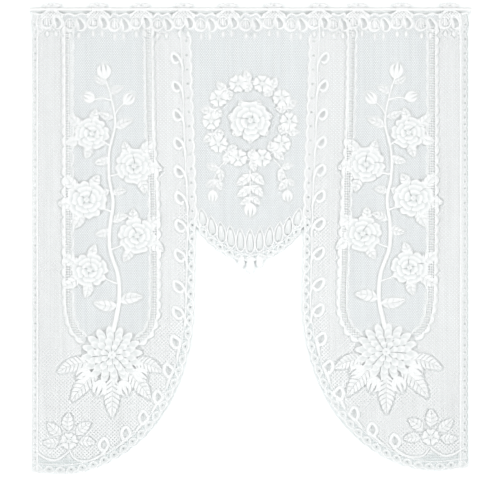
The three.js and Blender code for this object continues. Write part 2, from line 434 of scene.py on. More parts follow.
@dataclass(frozen=True)
class Drop:
    """The short drop between the panels."""

    corner_z: float = -715
    depth: float = 147
    roundness: float = 1.6
    scallop_pitch: float = 41
    scallop_depth: float = 5

    def path(self) -> Line:
        """The lower edge without its scallops, from left to right."""
        angle = np.linspace(0, np.pi, 121)
        across = np.abs(np.cos(angle)) ** (2 / self.roundness)
        down = np.abs(np.sin(angle)) ** (2 / self.roundness)
        x = np.where(angle < np.pi / 2, -across * LEFT.drop_x, across * RIGHT.drop_x)
        return Line(np.column_stack([x, self.corner_z - self.depth * down]))

    def edge(self) -> Scallops:
        """The scalloped lower edge."""
        pitch, depth = self.scallop_pitch, self.scallop_depth
        return Scallops(self.path(), 1, pitch, pitch, depth, depth)


DROP = Drop()


@dataclass(frozen=True)
class TopEdge:
    """The cloth's top edge: level under each tab, low beside it and cresting between two."""

    reach: float = 42
    seat_z: float = -24
    crest_z: float = -14
    crest_reach: float = 20
    notch: float = 7
    end_z: float = -12

    def knots(self) -> list[Points]:
        """Place the corners of the top edge between the tabs.

        Returns:
            One list of them for each span between two tabs and for each end.
        """
        spans = [[(-LEFT.outer_x, self.end_z), (TABS[0].x - self.reach, TABS[0].dip_left)]]
        for tab, after in zip(TABS, TABS[1:]):
            middle = (tab.x + after.x) / 2
            spans.append([
                (tab.x + self.reach, tab.dip_right),
                (middle - self.crest_reach, self.crest_z),
                (middle, self.crest_z - self.notch),
                (middle + self.crest_reach, self.crest_z),
                (after.x - self.reach, after.dip_left),
            ])
        spans.append([(TABS[-1].x + self.reach, TABS[-1].dip_right), (RIGHT.outer_x, self.end_z)])
        return [np.array(span, float) for span in spans]

    def outline(self) -> Points:
        """Draw the whole top edge, with its seats under the tabs.

        Returns:
            Its points, from left to right.
        """
        rows = []
        for n, span in enumerate(self.knots()):
            rows.append(curve_through(span, 24).points if len(span) > 2 else span)
            if n < len(TABS):
                half = self.reach / 2
                rows.append(np.array([(TABS[n].x - half, self.seat_z), (TABS[n].x + half, self.seat_z)]))
        return np.vstack(rows)


TOP_EDGE = TopEdge()


# Meshes


def walls_of(rim: np.ndarray, size: int) -> np.ndarray:
    """The faces that join a front's rim to its back, whose points come that many places later."""
    return np.stack([rim[:-1], rim[:-1] + size, rim[1:] + size, rim[1:]], axis=-1)


class Shells:
    """Thin closed shapes that lie on the cloth and follow its folds, gathered into one mesh."""

    def __init__(self) -> None:
        """Start empty."""
        self.back = 0.4  # how far the shapes' backs lie behind the cloth's middle, in mm
        self.places: list[np.ndarray] = []
        self.faces: list[np.ndarray] = []
        self.shades: list[np.ndarray] = []
        self.count = 0

    def patch(
        self,
        grid: np.ndarray,
        front: np.ndarray | float,
        closed: bool = False,
        shade: np.ndarray | float = 0.0,
    ) -> None:
        """Add one thin shape.

        Args:
            grid: x and z in mm of a grid of points, (rows, columns, 2).
            front: how far each point stands in front of the cloth's middle, in mm.
            closed: whether the last row joins the first one.
            shade: how grey each point is, from 0 to 1: where it is openly knitted, and where shade is painted
                on.
        """
        rows, columns = grid.shape[:2]
        front = np.broadcast_to(front, (rows, columns))
        self.shades += [np.broadcast_to(shade, (rows, columns)).reshape(-1)] * 2
        size = rows * columns
        index = np.arange(size).reshape(rows, columns)
        loop = np.vstack([index, index[:1]]) if closed else index
        a, b, c, d = loop[:-1, :-1], loop[1:, :-1], loop[1:, 1:], loop[:-1, 1:]
        quads = np.stack([a, b, c, d], axis=-1).reshape(-1, 4)
        flat = grid.reshape(-1, 2)
        p, q, r, s = (flat[quads[:, k]] for k in range(4))
        area = np.sum((r - p)[:, 0] * (s - q)[:, 1] - (r - p)[:, 1] * (s - q)[:, 0])
        if closed:
            rim = [np.append(index[::-1, 0], index[-1, 0]), np.append(index[:, -1], index[0, -1])]
        else:
            rim = [np.concatenate([index[:, 0], index[-1, 1:], index[-2::-1, -1], index[0, -2::-1]])]
        if area < 0:
            quads = quads[:, ::-1]
            rim = [line[::-1] for line in rim]
        walls = [walls_of(line, size) for line in rim]
        self.faces.append(np.vstack([quads, quads[:, ::-1] + size, *walls]) + self.count)
        ahead = np.column_stack([flat[:, 0], -front.reshape(-1), flat[:, 1]])
        behind = np.column_stack([flat[:, 0], np.full(size, self.back), flat[:, 1]])
        self.places += [ahead, behind]
        self.count += 2 * size

    def band(
        self,
        line: Line,
        half: np.ndarray,
        crown: float = 0.9,
        base: float = 0.3,
        closed: bool = False,
        shade: float = 0.0,
    ) -> None:
        """Add a flat cord or worked line.

        Args:
            line: the line that it follows.
            half: half its width along the line, in mm, one number or one for each point.
            crown: how much its middle is raised.
            base: how far its sides stand in front of the cloth's middle.
            closed: whether it is a ring; its last point then repeats the first one.
            shade: how openly it is knitted, from 0 to 1.
        """
        points = line.points[:-1] if closed else line.points
        if closed:
            way = np.roll(points, -1, axis=0) - np.roll(points, 1, axis=0)
        else:
            way = np.gradient(points, axis=0)
        way /= np.maximum(np.linalg.norm(way, axis=1, keepdims=True), 1e-9)
        right = np.column_stack([way[:, 1], -way[:, 0]])
        across = np.array([-1.0, -0.62, 0.0, 0.62, 1.0])
        half = np.broadcast_to(half, (len(points),)).astype(float)
        grid = points[:, None] + right[:, None] * (half[:, None] * across)[..., None]
        height = base + crown * np.sqrt(np.maximum(1 - across**2, 0.0))
        self.patch(grid, height, closed, shade)

    def mesh(self, name: str, bend: Bend = DRAPE.fold) -> Mesh:
        """Bend what was gathered to the cloth and make it a mesh.

        Args:
            name: the mesh's name.
            bend: gives the surface that it lies on.

        Returns:
            The mesh.
        """
        places = np.vstack(self.places)
        places[:, 1] += bend(places[:, 0], places[:, 2])
        mesh = mesh_from(name, places, np.vstack(self.faces))
        shades = mesh.attributes.new("shade", "FLOAT", "POINT")
        shades.data.foreach_set("value", np.concatenate(self.shades))
        return mesh


def mesh_from(name: str, places: np.ndarray, faces: np.ndarray, smooth_angle: float = 40) -> Mesh:
    """Make a smooth-shaded mesh.

    Args:
        name: the mesh's name.
        places: points in mm, (n, 3).
        faces: corners of faces that all have the same number of them.
        smooth_angle: edges sharper than this many degrees stay sharp.

    Returns:
        The mesh, in metres.
    """
    mesh = bpy.data.meshes.new(name)
    mesh.from_pydata((places * MM).tolist(), [], faces.tolist())
    mesh.polygons.foreach_set("use_smooth", np.ones(len(mesh.polygons), bool))
    mesh.set_sharp_from_angle(angle=math.radians(smooth_angle))
    mesh.validate()
    mesh.update()
    return mesh


def piece(mesh: Mesh, material: Material) -> Object:
    """Put a mesh into the scene as a piece that rides on the curtain.

    Args:
        mesh: the mesh, already in place.
        material: what it is made of, unless the mesh has its own materials.

    Returns:
        The object.
    """
    if not mesh.materials:
        mesh.materials.append(material)
    made = bpy.data.objects.new(mesh.name, mesh)
    bpy.context.collection.objects.link(made)
    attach(made, BODY)
    LOG.info("%s: %d faces", made.name, len(mesh.polygons))
    return made


# Finishes


def colour(code: str) -> tuple[float, float, float, float]:
    """Turn an sRGB hex colour into linear light."""
    parts = [int(code[k : k + 2], 16) / 255 for k in (0, 2, 4)]
    return (*[p / 12.92 if p <= 0.04045 else ((p + 0.055) / 1.055) ** 2.4 for p in parts], 1.0)


def add_node(tree: NodeTree, kind: str, values: dict | None = None, **settings: object) -> Node:
    """Add a node with its settings and links.

    Args:
        tree: the tree that gets it.
        kind: Blender's name for the node.
        values: for an input's name or number, the socket that feeds it or its value.
        **settings: the node's own settings.

    Returns:
        The node.
    """
    made = tree.nodes.new(kind)
    for name, value in settings.items():
        setattr(made, name, value)
    for key, value in (values or {}).items():
        if isinstance(value, NodeSocket):
            tree.links.new(value, made.inputs[key])
        else:
            made.inputs[key].default_value = value
    return made


def blank_material(name: str) -> Material:
    """Make a material whose tree is empty."""
    made = bpy.data.materials.new(name)
    made.use_nodes = True
    made.node_tree.nodes.clear()
    return made


def set_ramp(ramp: ColorRamp, tone: str, dark: float, start: float = 0.0, end: float = 1.0) -> None:
    """Let a ramp of two stops go from a darker share of a tone to the tone itself."""
    for stop, share, position in zip(ramp.elements, (dark, 1.0), (start, end)):
        stop.color = (*[share * part for part in colour(tone)[:3]], 1.0)
        stop.position = position


def thread_cells(
    tree: NodeTree, place: NodeSocket, width: float, height: float, slanted: bool = True
) -> list[NodeSocket]:
    """Divide the front view into the cells between threads that run two ways.

    Args:
        tree: the material's tree.
        place: where a point lies on the object.
        width: a cell's width, in mm.
        height: its height.
        slanted: whether the threads cross aslant, which makes the cells diamonds.

    Returns:
        For each way, how far the point is from the nearest thread, in cells.
    """
    split = add_node(tree, "ShaderNodeSeparateXYZ", {0: place})
    ways = []
    for axis, size in (("X", width), ("Z", height)):
        values = {0: split.outputs[axis], 1: 1 / (size * MM)}
        ways.append(add_node(tree, "ShaderNodeMath", values, operation="MULTIPLY").outputs[0])
    if slanted:
        both, signs = dict(enumerate(ways)), ("ADD", "SUBTRACT")
        ways = [add_node(tree, "ShaderNodeMath", both, operation=sign).outputs[0] for sign in signs]
    folded = [add_node(tree, "ShaderNodeMath", {0: way, 1: 0.5}, operation="PINGPONG") for way in ways]
    return [node.outputs[0] for node in folded]


class NetForm(Enum):
    """How the threads of a net run."""

    DIAMOND = "diamond"
    SQUARE = "square"


@dataclass(frozen=True)
class NetFinish:
    """Raschel net of white polyester: matt threads round open meshes."""

    name: str
    mesh: NetForm
    width: float
    height: float
    thread: float
    tone: str = "dedfdf"
    warp: float = 0.0
    softness: float = 0.05

    def warped(self, tree: NodeTree, place: NodeSocket) -> NodeSocket:
        """Let the threads wander a little, as they do in a hung net.

        Args:
            tree: the material's tree.
            place: where a point lies on the object.

        Returns:
            The place, moved aside.
        """
        drift = add_node(tree, "ShaderNodeTexNoise", {"Vector": place, "Scale": 9.0, "Detail": 1.0})
        values = {0: drift.outputs["Color"], 1: (0.5, 0.5, 0.5)}
        centred = add_node(tree, "ShaderNodeVectorMath", values, operation="SUBTRACT")
        values = {0: centred.outputs[0], 1: (self.warp * MM,) * 3, 2: place}
        return add_node(tree, "ShaderNodeVectorMath", values, operation="MULTIPLY_ADD").outputs[0]

    def build(self) -> Material:
        """Make the material. Its meshes are drawn coarser than the real 2 mm, so that they show.

        Returns:
            The material, see-through between the threads and clouded in upright streaks, partly a random tone
            of the yarn and partly painted shade of fine upright folds.
        """
        made = blank_material(self.name)
        tree = made.node_tree
        place = add_node(tree, "ShaderNodeTexCoord").outputs["Object"]
        if self.warp:
            place = self.warped(tree, place)
        one, other = thread_cells(tree, place, self.width, self.height, self.mesh is NetForm.DIAMOND)
        near = add_node(tree, "ShaderNodeMath", {0: one, 1: other, 2: 0.12}, operation="SMOOTH_MIN")
        values = {
            "Value": near.outputs[0],
            "From Min": self.thread - self.softness,
            "From Max": self.thread + self.softness,
            "To Min": 1.0,
            "To Max": 0.0,
        }
        solid = add_node(tree, "ShaderNodeMapRange", values, interpolation_type="SMOOTHSTEP").outputs[0]
        # Upright streaks darken the threads by up to 11%: partly a random tone, partly painted shade of fine
        # folds.
        tall = add_node(tree, "ShaderNodeVectorMath", {0: place, 1: (115.0, 1.0, 2.4)}, operation="MULTIPLY")
        values = {"Vector": tall.outputs[0], "Scale": 1.0, "Detail": 3.0}
        streaks_and_fold_shade = add_node(tree, "ShaderNodeTexNoise", values)
        tint = add_node(tree, "ShaderNodeValToRGB", {0: streaks_and_fold_shade.outputs["Fac"]})
        set_ramp(tint.color_ramp, self.tone, 0.89, 0.3, 0.7)
        values = {"Height": solid, "Strength": 0.4, "Distance": 0.0004}
        round_thread = add_node(tree, "ShaderNodeBump", values)
        values = {
            "Base Color": tint.outputs[0],
            "Roughness": 0.85,
            "IOR": 1.5,
            "Specular IOR Level": 0.25,
            "Alpha": solid,
            "Normal": round_thread.outputs[0],
        }
        surface = add_node(tree, "ShaderNodeBsdfPrincipled", values)
        add_node(tree, "ShaderNodeOutputMaterial", {"Surface": surface.outputs[0]})
        return made


@dataclass(frozen=True)
class KnitFinish:
    """Dense raschel knitting of white polyester: close wales, matt, grey in openly knitted parts and in
    painted shade.
    """

    name: str
    tone: str = "e0e1e1"
    # the grey of openly knitted parts, also painted on as shade under petals and round eyelets
    shaded: str = "b6bcbb"
    wale: float = 3.4
    relief: float = 0.25

    def build(self) -> Material:
        """Make the material. Its wales are drawn coarser than the real 1 mm, so that they show.

        Returns:
            The material, which the shade attribute turns grey where the knitting is open and where shade is
            painted on.
        """
        made = blank_material(self.name)
        tree = made.node_tree
        place = add_node(tree, "ShaderNodeTexCoord").outputs["Object"]
        values = dict(enumerate(thread_cells(tree, place, self.wale, self.wale)))
        stitch = add_node(tree, "ShaderNodeMath", values, operation="MULTIPLY").outputs[0]
        fleck = add_node(tree, "ShaderNodeTexNoise", {"Vector": place, "Scale": 160.0, "Detail": 2.0})
        values = {0: stitch, 1: 4.0, 2: fleck.outputs["Fac"]}
        height = add_node(tree, "ShaderNodeMath", values, operation="MULTIPLY_ADD").outputs[0]
        # The colour is up to 8% darker where the wales are low: painted shade in the hollows between the
        # stitches, flecked at random.
        level = add_node(tree, "ShaderNodeMath", {0: height, 1: 0.5}, operation="MULTIPLY")
        tint = add_node(tree, "ShaderNodeValToRGB", {0: level.outputs[0]})
        set_ramp(tint.color_ramp, self.tone, 0.92, 0.2, 0.6)
        shade = add_node(tree, "ShaderNodeAttribute", attribute_name="shade", attribute_type="GEOMETRY")
        hatch = add_node(tree, "ShaderNodeMath", {0: stitch, 1: 3.0, 2: 0.55}, operation="MULTIPLY_ADD")
        values = {0: shade.outputs["Fac"], 1: hatch.outputs[0]}
        openness_and_painted_shade = add_node(tree, "ShaderNodeMath", values, operation="MULTIPLY")
        values = {0: openness_and_painted_shade.outputs[0], 6: tint.outputs[0], 7: colour(self.shaded)}
        mixed = add_node(tree, "ShaderNodeMix", values, data_type="RGBA")
        values = {"Height": height, "Strength": self.relief, "Distance": 0.0005}
        bump = add_node(tree, "ShaderNodeBump", values)
        values = {
            "Base Color": mixed.outputs[2],
            "Roughness": 0.8,
            "IOR": 1.5,
            "Specular IOR Level": 0.3,
            "Sheen Weight": 0.1,
            "Sheen Roughness": 0.5,
            "Normal": bump.outputs[0],
        }
        surface = add_node(tree, "ShaderNodeBsdfPrincipled", values)
        add_node(tree, "ShaderNodeOutputMaterial", {"Surface": surface.outputs[0]})
        return made


@dataclass(frozen=True)
class EnamelFinish:
    """White stoving enamel on thin steel tube: smooth, half gloss, with a faint orange peel."""

    name: str = "white_enamel"
    tone: str = "e2e3e2"

    def build(self) -> Material:
        """Make the material, with dips of enamel 2 mm wide that break up its gloss.

        Returns:
            The material.
        """
        made = blank_material(self.name)
        tree = made.node_tree
        place = add_node(tree, "ShaderNodeTexCoord").outputs["Object"]
        peel = add_node(tree, "ShaderNodeTexNoise", {"Vector": place, "Scale": 500.0, "Detail": 1.0})
        wear = add_node(tree, "ShaderNodeTexNoise", {"Vector": place, "Scale": 35.0, "Detail": 3.0})
        tint = add_node(tree, "ShaderNodeValToRGB", {0: wear.outputs["Fac"]})
        set_ramp(tint.color_ramp, self.tone, 0.95)
        values = {"Value": wear.outputs["Fac"], "To Min": 0.26, "To Max": 0.42}
        gloss = add_node(tree, "ShaderNodeMapRange", values)
        values = {"Height": peel.outputs["Fac"], "Strength": 0.08, "Distance": 0.0002}
        bump = add_node(tree, "ShaderNodeBump", values)
        values = {
            "Base Color": tint.outputs[0],
            "Roughness": gloss.outputs[0],
            "IOR": 1.5,
            "Coat Weight": 0.2,
            "Normal": bump.outputs[0],
        }
        surface = add_node(tree, "ShaderNodeBsdfPrincipled", values)
        add_node(tree, "ShaderNodeOutputMaterial", {"Surface": surface.outputs[0]})
        return made


@dataclass(frozen=True)
class StudioPaint:
    """Matt pale paint of the studio. A wall can be clear from behind, to leave the back in view."""

    name: str
    tone: str
    one_sided: bool = False

    def build(self) -> Material:
        """Make the material, plain and without gloss."""
        made = blank_material(self.name)
        tree = made.node_tree
        values = {"Base Color": colour(self.tone), "Roughness": 0.95, "Specular IOR Level": 0.1}
        shader = add_node(tree, "ShaderNodeBsdfPrincipled", values).outputs[0]
        if self.one_sided:
            behind = add_node(tree, "ShaderNodeNewGeometry").outputs["Backfacing"]
            clear = add_node(tree, "ShaderNodeBsdfTransparent").outputs[0]
            shader = add_node(tree, "ShaderNodeMixShader", {0: behind, 1: shader, 2: clear}).outputs[0]
        add_node(tree, "ShaderNodeOutputMaterial", {"Surface": shader})
        return made


# The net


class Zone(Enum):
    """The grounds that the knitting changes between."""

    DENSE = 0
    OPEN = 1
    FILET = 2
    CLEAR = 3
    KNIT = 4
    LADDER = 5
    EDGE = 6
    BAND = 7


GROUNDS = {
    Zone.DENSE: NetFinish("polyester_net_close", NetForm.DIAMOND, 12.6, 12.6, 0.255),
    Zone.OPEN: NetFinish("polyester_net_open", NetForm.DIAMOND, 7.8, 10.8, 0.225, "d7dadb", warp=5.0),
    Zone.FILET: NetFinish("polyester_filet", NetForm.SQUARE, 8.6, 8.6, 0.155),
    Zone.CLEAR: NetFinish("polyester_filet_clear", NetForm.SQUARE, 4.3, 4.3, 0.09),
    Zone.KNIT: NetFinish("polyester_net_band", NetForm.DIAMOND, 10.4, 10.4, 0.29),
    Zone.LADDER: NetFinish("polyester_filet_close", NetForm.SQUARE, 8.2, RUNG_PITCH, 0.245, "e1e3e3"),
    # Grey yarn of the filet along the free edges and in the corner strips: painted shade, which the lit wall
    # behind the edge does not give.
    Zone.EDGE: NetFinish("polyester_filet_edge", NetForm.SQUARE, 8.6, 8.6, 0.24, "cfd4d4"),
    # Greyer yarn of the net down the outer sides: painted shade, which the lit wall behind the edge does not
    # give.
    Zone.BAND: NetFinish("polyester_net_selvedge", NetForm.DIAMOND, 10.4, 10.4, 0.29, "dadcdc"),
}


@dataclass(frozen=True)
class Patch:
    """A closed outline in the front view whose inside has one kind of ground."""

    zone: Zone
    outline: Points


def strip(line: Line, half: float) -> Points:
    """The outline of a strip of ground along a line."""
    distance = np.linspace(0, line.length, max(3, int(line.length / 7)))
    sides = [line.beside(distance, np.full(distance.shape, way * half)) for way in (1, -1)]
    return between(*sides)


def ring_of(middle: Points, radius: float, sides: int = 10) -> Points:
    """The corners of a small round outline."""
    angle = np.arange(sides) * 2 * np.pi / sides + np.pi / sides
    return middle + radius * np.column_stack([np.cos(angle), np.sin(angle)])


def inside(points: Points, outline: Points) -> np.ndarray:
    """Find which points lie inside a closed outline.

    Args:
        points: the points.
        outline: the outline's corners.

    Returns:
        True for each point that lies inside.
    """
    low, high = outline.min(axis=0), outline.max(axis=0)
    found = np.zeros(len(points), bool)
    near = np.flatnonzero(np.all((points >= low) & (points <= high), axis=1))
    if not len(near):
        return found
    x, z = points[near, 0][:, None], points[near, 1][:, None]
    x0, z0 = outline[:, 0][None], outline[:, 1][None]
    x1, z1 = np.roll(outline[:, 0], -1)[None], np.roll(outline[:, 1], -1)[None]
    cuts = (z0 > z) != (z1 > z)
    rise = np.where(z1 == z0, 1e-12, z1 - z0)
    crossings = cuts & (x < x0 + (z - z0) * (x1 - x0) / rise)
    found[near] = crossings.sum(axis=1) % 2 == 1
    return found


@dataclass
class Net:
    """The knitted ground: one sheet with every eyelet open and each kind of ground in its place."""

    eyelet_radius: float = 3.3
    gap_radius: float = 3.4
    under_z: float = -72.0
    between_z: float = -84.0
    spacing: float = 15.0
    margin: float = 4.0
    clearance: float = 5.0
    joining: float = 0.02
    patches: list[Patch] = field(default_factory=list)

    def outline(self) -> Points:
        """Draw the cloth's outline in the front view, with its scallops.

        Returns:
            The closed outline.
        """
        left, right = (panel.free_edge().edge().points for panel in PANELS)
        drop = DROP.edge().edge().points
        outer_left, outer_right = (panel.outer_line(0.0).points for panel in PANELS)
        return np.vstack([
            left[1:][::-1],
            drop,
            right[1:],
            outer_right[1:-1][::-1],
            TOP_EDGE.outline()[::-1],
            outer_left[1:-1],
        ])

    def holes(self) -> list[Points]:
        """Draw every eyelet, and the gaps under the heading's medallions.

        Returns:
            The holes' outlines.
        """
        found = []
        for panel in PANELS:
            spots = [panel.side_eyelets(), panel.free_edge().eyelets()[:-1], panel.upper_eyelets()]
            found += [ring_of(spot, self.eyelet_radius) for spot in np.vstack(spots)]
        found += [ring_of(spot, self.eyelet_radius) for spot in DROP.edge().eyelets()]
        for n, tab in enumerate(TABS):
            found.append(ring_of(np.array([tab.x, self.under_z]), self.gap_radius, 8))
            if n + 1 < len(TABS):
                middle = (tab.x + TABS[n + 1].x) / 2
                found.append(ring_of(np.array([middle, self.between_z]), self.gap_radius, 8))
        return found

    def free_points(self, outline: Points, fixed: Points) -> Points:
        """Spread staggered points over the cloth.

        Args:
            outline: the cloth's outline.
            fixed: the points of all outlines in the sheet.

        Returns:
            The points inside the outline that keep clear of every fixed one.
        """
        low, high = outline.min(axis=0), outline.max(axis=0)
        x, z = np.meshgrid(*[np.arange(low[k] + self.margin, high[k], self.spacing) for k in (0, 1)])
        stagger = (np.arange(x.shape[0]) % 2)[:, None] * self.spacing / 2
        free = np.column_stack([(x + stagger).ravel(), z.ravel()])
        free = free[inside(free, outline)]
        fixed = fixed[np.argsort(fixed[:, 0])]
        kept = np.ones(len(free), bool)
        for k, (px, pz) in enumerate(free):
            lo, hi = np.searchsorted(fixed[:, 0], [px - self.clearance, px + self.clearance])
            near = fixed[lo:hi]
            kept[k] = not np.any((near[:, 0] - px) ** 2 + (near[:, 1] - pz) ** 2 < self.clearance**2)
        return free[kept]

    def triangles(self) -> tuple[Points, np.ndarray]:
        """Divide the sheet into triangles that keep to every outline.

        Returns:
            The corners, and three of them for each triangle of cloth.
        """
        outline, holes = self.outline(), self.holes()
        loops = [outline, *holes, *[patch.outline for patch in self.patches]]
        fixed = np.vstack(loops)
        corners = np.vstack([fixed, self.free_points(outline, fixed)]).tolist()
        edges, start = [], 0
        for loop in loops:
            count = len(loop)
            edges += [(start + k, start + (k + 1) % count) for k in range(count)]
            start += count
        places, _, faces, *_ = delaunay_2d_cdt(corners, edges, [], 0, self.joining, False)
        places, faces = np.array([tuple(place) for place in places]), np.array(faces)
        middles = places[faces].mean(axis=1)
        kept = inside(middles, outline)
        for hole in holes:
            kept &= ~inside(middles, hole)
        return places, faces[kept]

    def build(self) -> Object:
        """Make the sheet, with the ground of the last patch that covers each triangle.

        Returns:
            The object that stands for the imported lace.
        """
        places, faces = self.triangles()
        middles = places[faces].mean(axis=1)
        zones = np.full(len(faces), Zone.OPEN.value)
        for patch in self.patches:
            zones[inside(middles, patch.outline)] = patch.zone.value
        used, faces = np.unique(faces, return_inverse=True)
        x, z = places[used].T
        mesh = mesh_from("net_ground", np.column_stack([x, DRAPE.fold(x, z), z]), faces.reshape(-1, 3), 180)
        for zone in Zone:
            mesh.materials.append(GROUNDS[zone].build())
        mesh.polygons.foreach_set("material_index", zones.astype(np.int32))
        made = piece(mesh, mesh.materials[0])
        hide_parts("lace_curtain")
        return made


# Eyelets and rungs, which repeat


@dataclass
class Repeats:
    """Copies of one small form, set out on points by Geometry Nodes."""

    name: str
    spots: list[tuple[float, float]] = field(default_factory=list)
    lengths: list[float] = field(default_factory=list)

    def add(self, spot: Points, length: float = 1.0) -> None:
        """Note one more place, with how many times longer the form is there."""
        self.spots.append((float(spot[0]), float(spot[1])))
        self.lengths.append(length)

    def carrier(self) -> Object:
        """Make the object whose points carry the copies, on the cloth's middle."""
        x, z = np.array(self.spots).T
        mesh = bpy.data.meshes.new(self.name + "_points")
        mesh.from_pydata((np.column_stack([x, DRAPE.fold(x, z), z]) * MM).tolist(), [], [])
        mesh.attributes.new("length", "FLOAT", "POINT").data.foreach_set("value", self.lengths)
        made = bpy.data.objects.new(mesh.name, mesh)
        bpy.context.collection.objects.link(made)
        return made

    def tree(self, form: Form, sizes: Iterable[str]) -> NodeTree:
        """Make the tree that sets out the copies.

        Args:
            form: makes the form's nodes from the tree and its input node, and gives its geometry.
            sizes: the names of the form's sizes.

        Returns:
            The tree, whose inputs are the points, the sizes and the finish.
        """
        tree = bpy.data.node_groups.new(self.name, "GeometryNodeTree")
        kinds = {"Points": "Geometry", **dict.fromkeys(sizes, "Float"), "Finish": "Material"}
        for label, kind in kinds.items():
            tree.interface.new_socket(label, in_out="INPUT", socket_type=f"NodeSocket{kind}")
        tree.interface.new_socket("Copies", in_out="OUTPUT", socket_type="NodeSocketGeometry")
        inputs = add_node(tree, "NodeGroupInput")
        length = add_node(tree, "GeometryNodeInputNamedAttribute", {"Name": "length"}, data_type="FLOAT")
        stretch = add_node(tree, "ShaderNodeCombineXYZ", {"X": length.outputs[0], "Y": 1.0, "Z": 1.0})
        shape, points = form(tree, inputs), inputs.outputs["Points"]
        values = {"Points": points, "Instance": shape, "Scale": stretch.outputs[0]}
        copies = add_node(tree, "GeometryNodeInstanceOnPoints", values)
        real = add_node(tree, "GeometryNodeRealizeInstances", {0: copies.outputs[0]})
        values = {"Geometry": real.outputs[0], "Material": inputs.outputs["Finish"]}
        dressed = add_node(tree, "GeometryNodeSetMaterial", values)
        add_node(tree, "NodeGroupOutput", {"Copies": dressed.outputs[0]})
        return tree

    def build(self, form: Form, sizes: dict[str, float], material: Material) -> Object:
        """Set out the copies and make them one plain mesh.

        Args:
            form: makes the form's nodes from the tree and its input node, and gives its geometry.
            sizes: the form's sizes by name, in metres.
            material: what the copies are made of.

        Returns:
            The finished piece.
        """
        carrier = self.carrier()
        modifier = carrier.modifiers.new(self.name, "NODES")
        modifier.node_group = self.tree(form, sizes)
        values = {**sizes, "Finish": material}
        for item in modifier.node_group.interface.items_tree:
            if item.item_type == "SOCKET" and item.in_out == "INPUT" and item.name in values:
                modifier[item.identifier] = values[item.name]
        evaluated = carrier.evaluated_get(bpy.context.evaluated_depsgraph_get())
        mesh = bpy.data.meshes.new_from_object(evaluated)
        carrier.modifiers.remove(modifier)
        bpy.data.objects.remove(carrier)
        mesh.name = self.name
        mesh.polygons.foreach_set("use_smooth", np.ones(len(mesh.polygons), bool))
        return piece(mesh, material)


def rim_form(tree: NodeTree, inputs: Node) -> NodeSocket:
    """Make the overcast rim round an eyelet, facing the room.

    Args:
        tree: the tree that sets out the rims.
        inputs: its input node, with the rim's radius and its cord's.

    Returns:
        The rim's geometry.
    """
    rings = []
    for sides, size in ((12, "Radius"), (5, "Cord")):
        values = {"Resolution": sides, "Radius": inputs.outputs[size]}
        rings.append(add_node(tree, "GeometryNodeCurvePrimitiveCircle", values).outputs["Curve"])
    rim = add_node(tree, "GeometryNodeCurveToMesh", {"Curve": rings[0], "Profile Curve": rings[1]})
    values = {"Geometry": rim.outputs[0], "Rotation": (math.pi / 2, 0.0, 0.0)}
    return add_node(tree, "GeometryNodeTransform", values).outputs[0]


def rung_form(tree: NodeTree, inputs: Node) -> NodeSocket:
    """Make one thin flat rung, 1 m long and lying along x, to be shortened where it goes.

    Args:
        tree: the tree that sets out the rungs.
        inputs: its input node, with the rung's half height.

    Returns:
        The rung's geometry.
    """
    values = {"Vertices": 6, "Radius": inputs.outputs["Cord"], "Depth": 1.0}
    bar = add_node(tree, "GeometryNodeMeshCylinder", values)
    values = {"Geometry": bar.outputs[0], "Rotation": (0.0, math.pi / 2, 0.0), "Scale": (1.0, 0.4, 1.0)}
    return add_node(tree, "GeometryNodeTransform", values).outputs[0]


# The edges


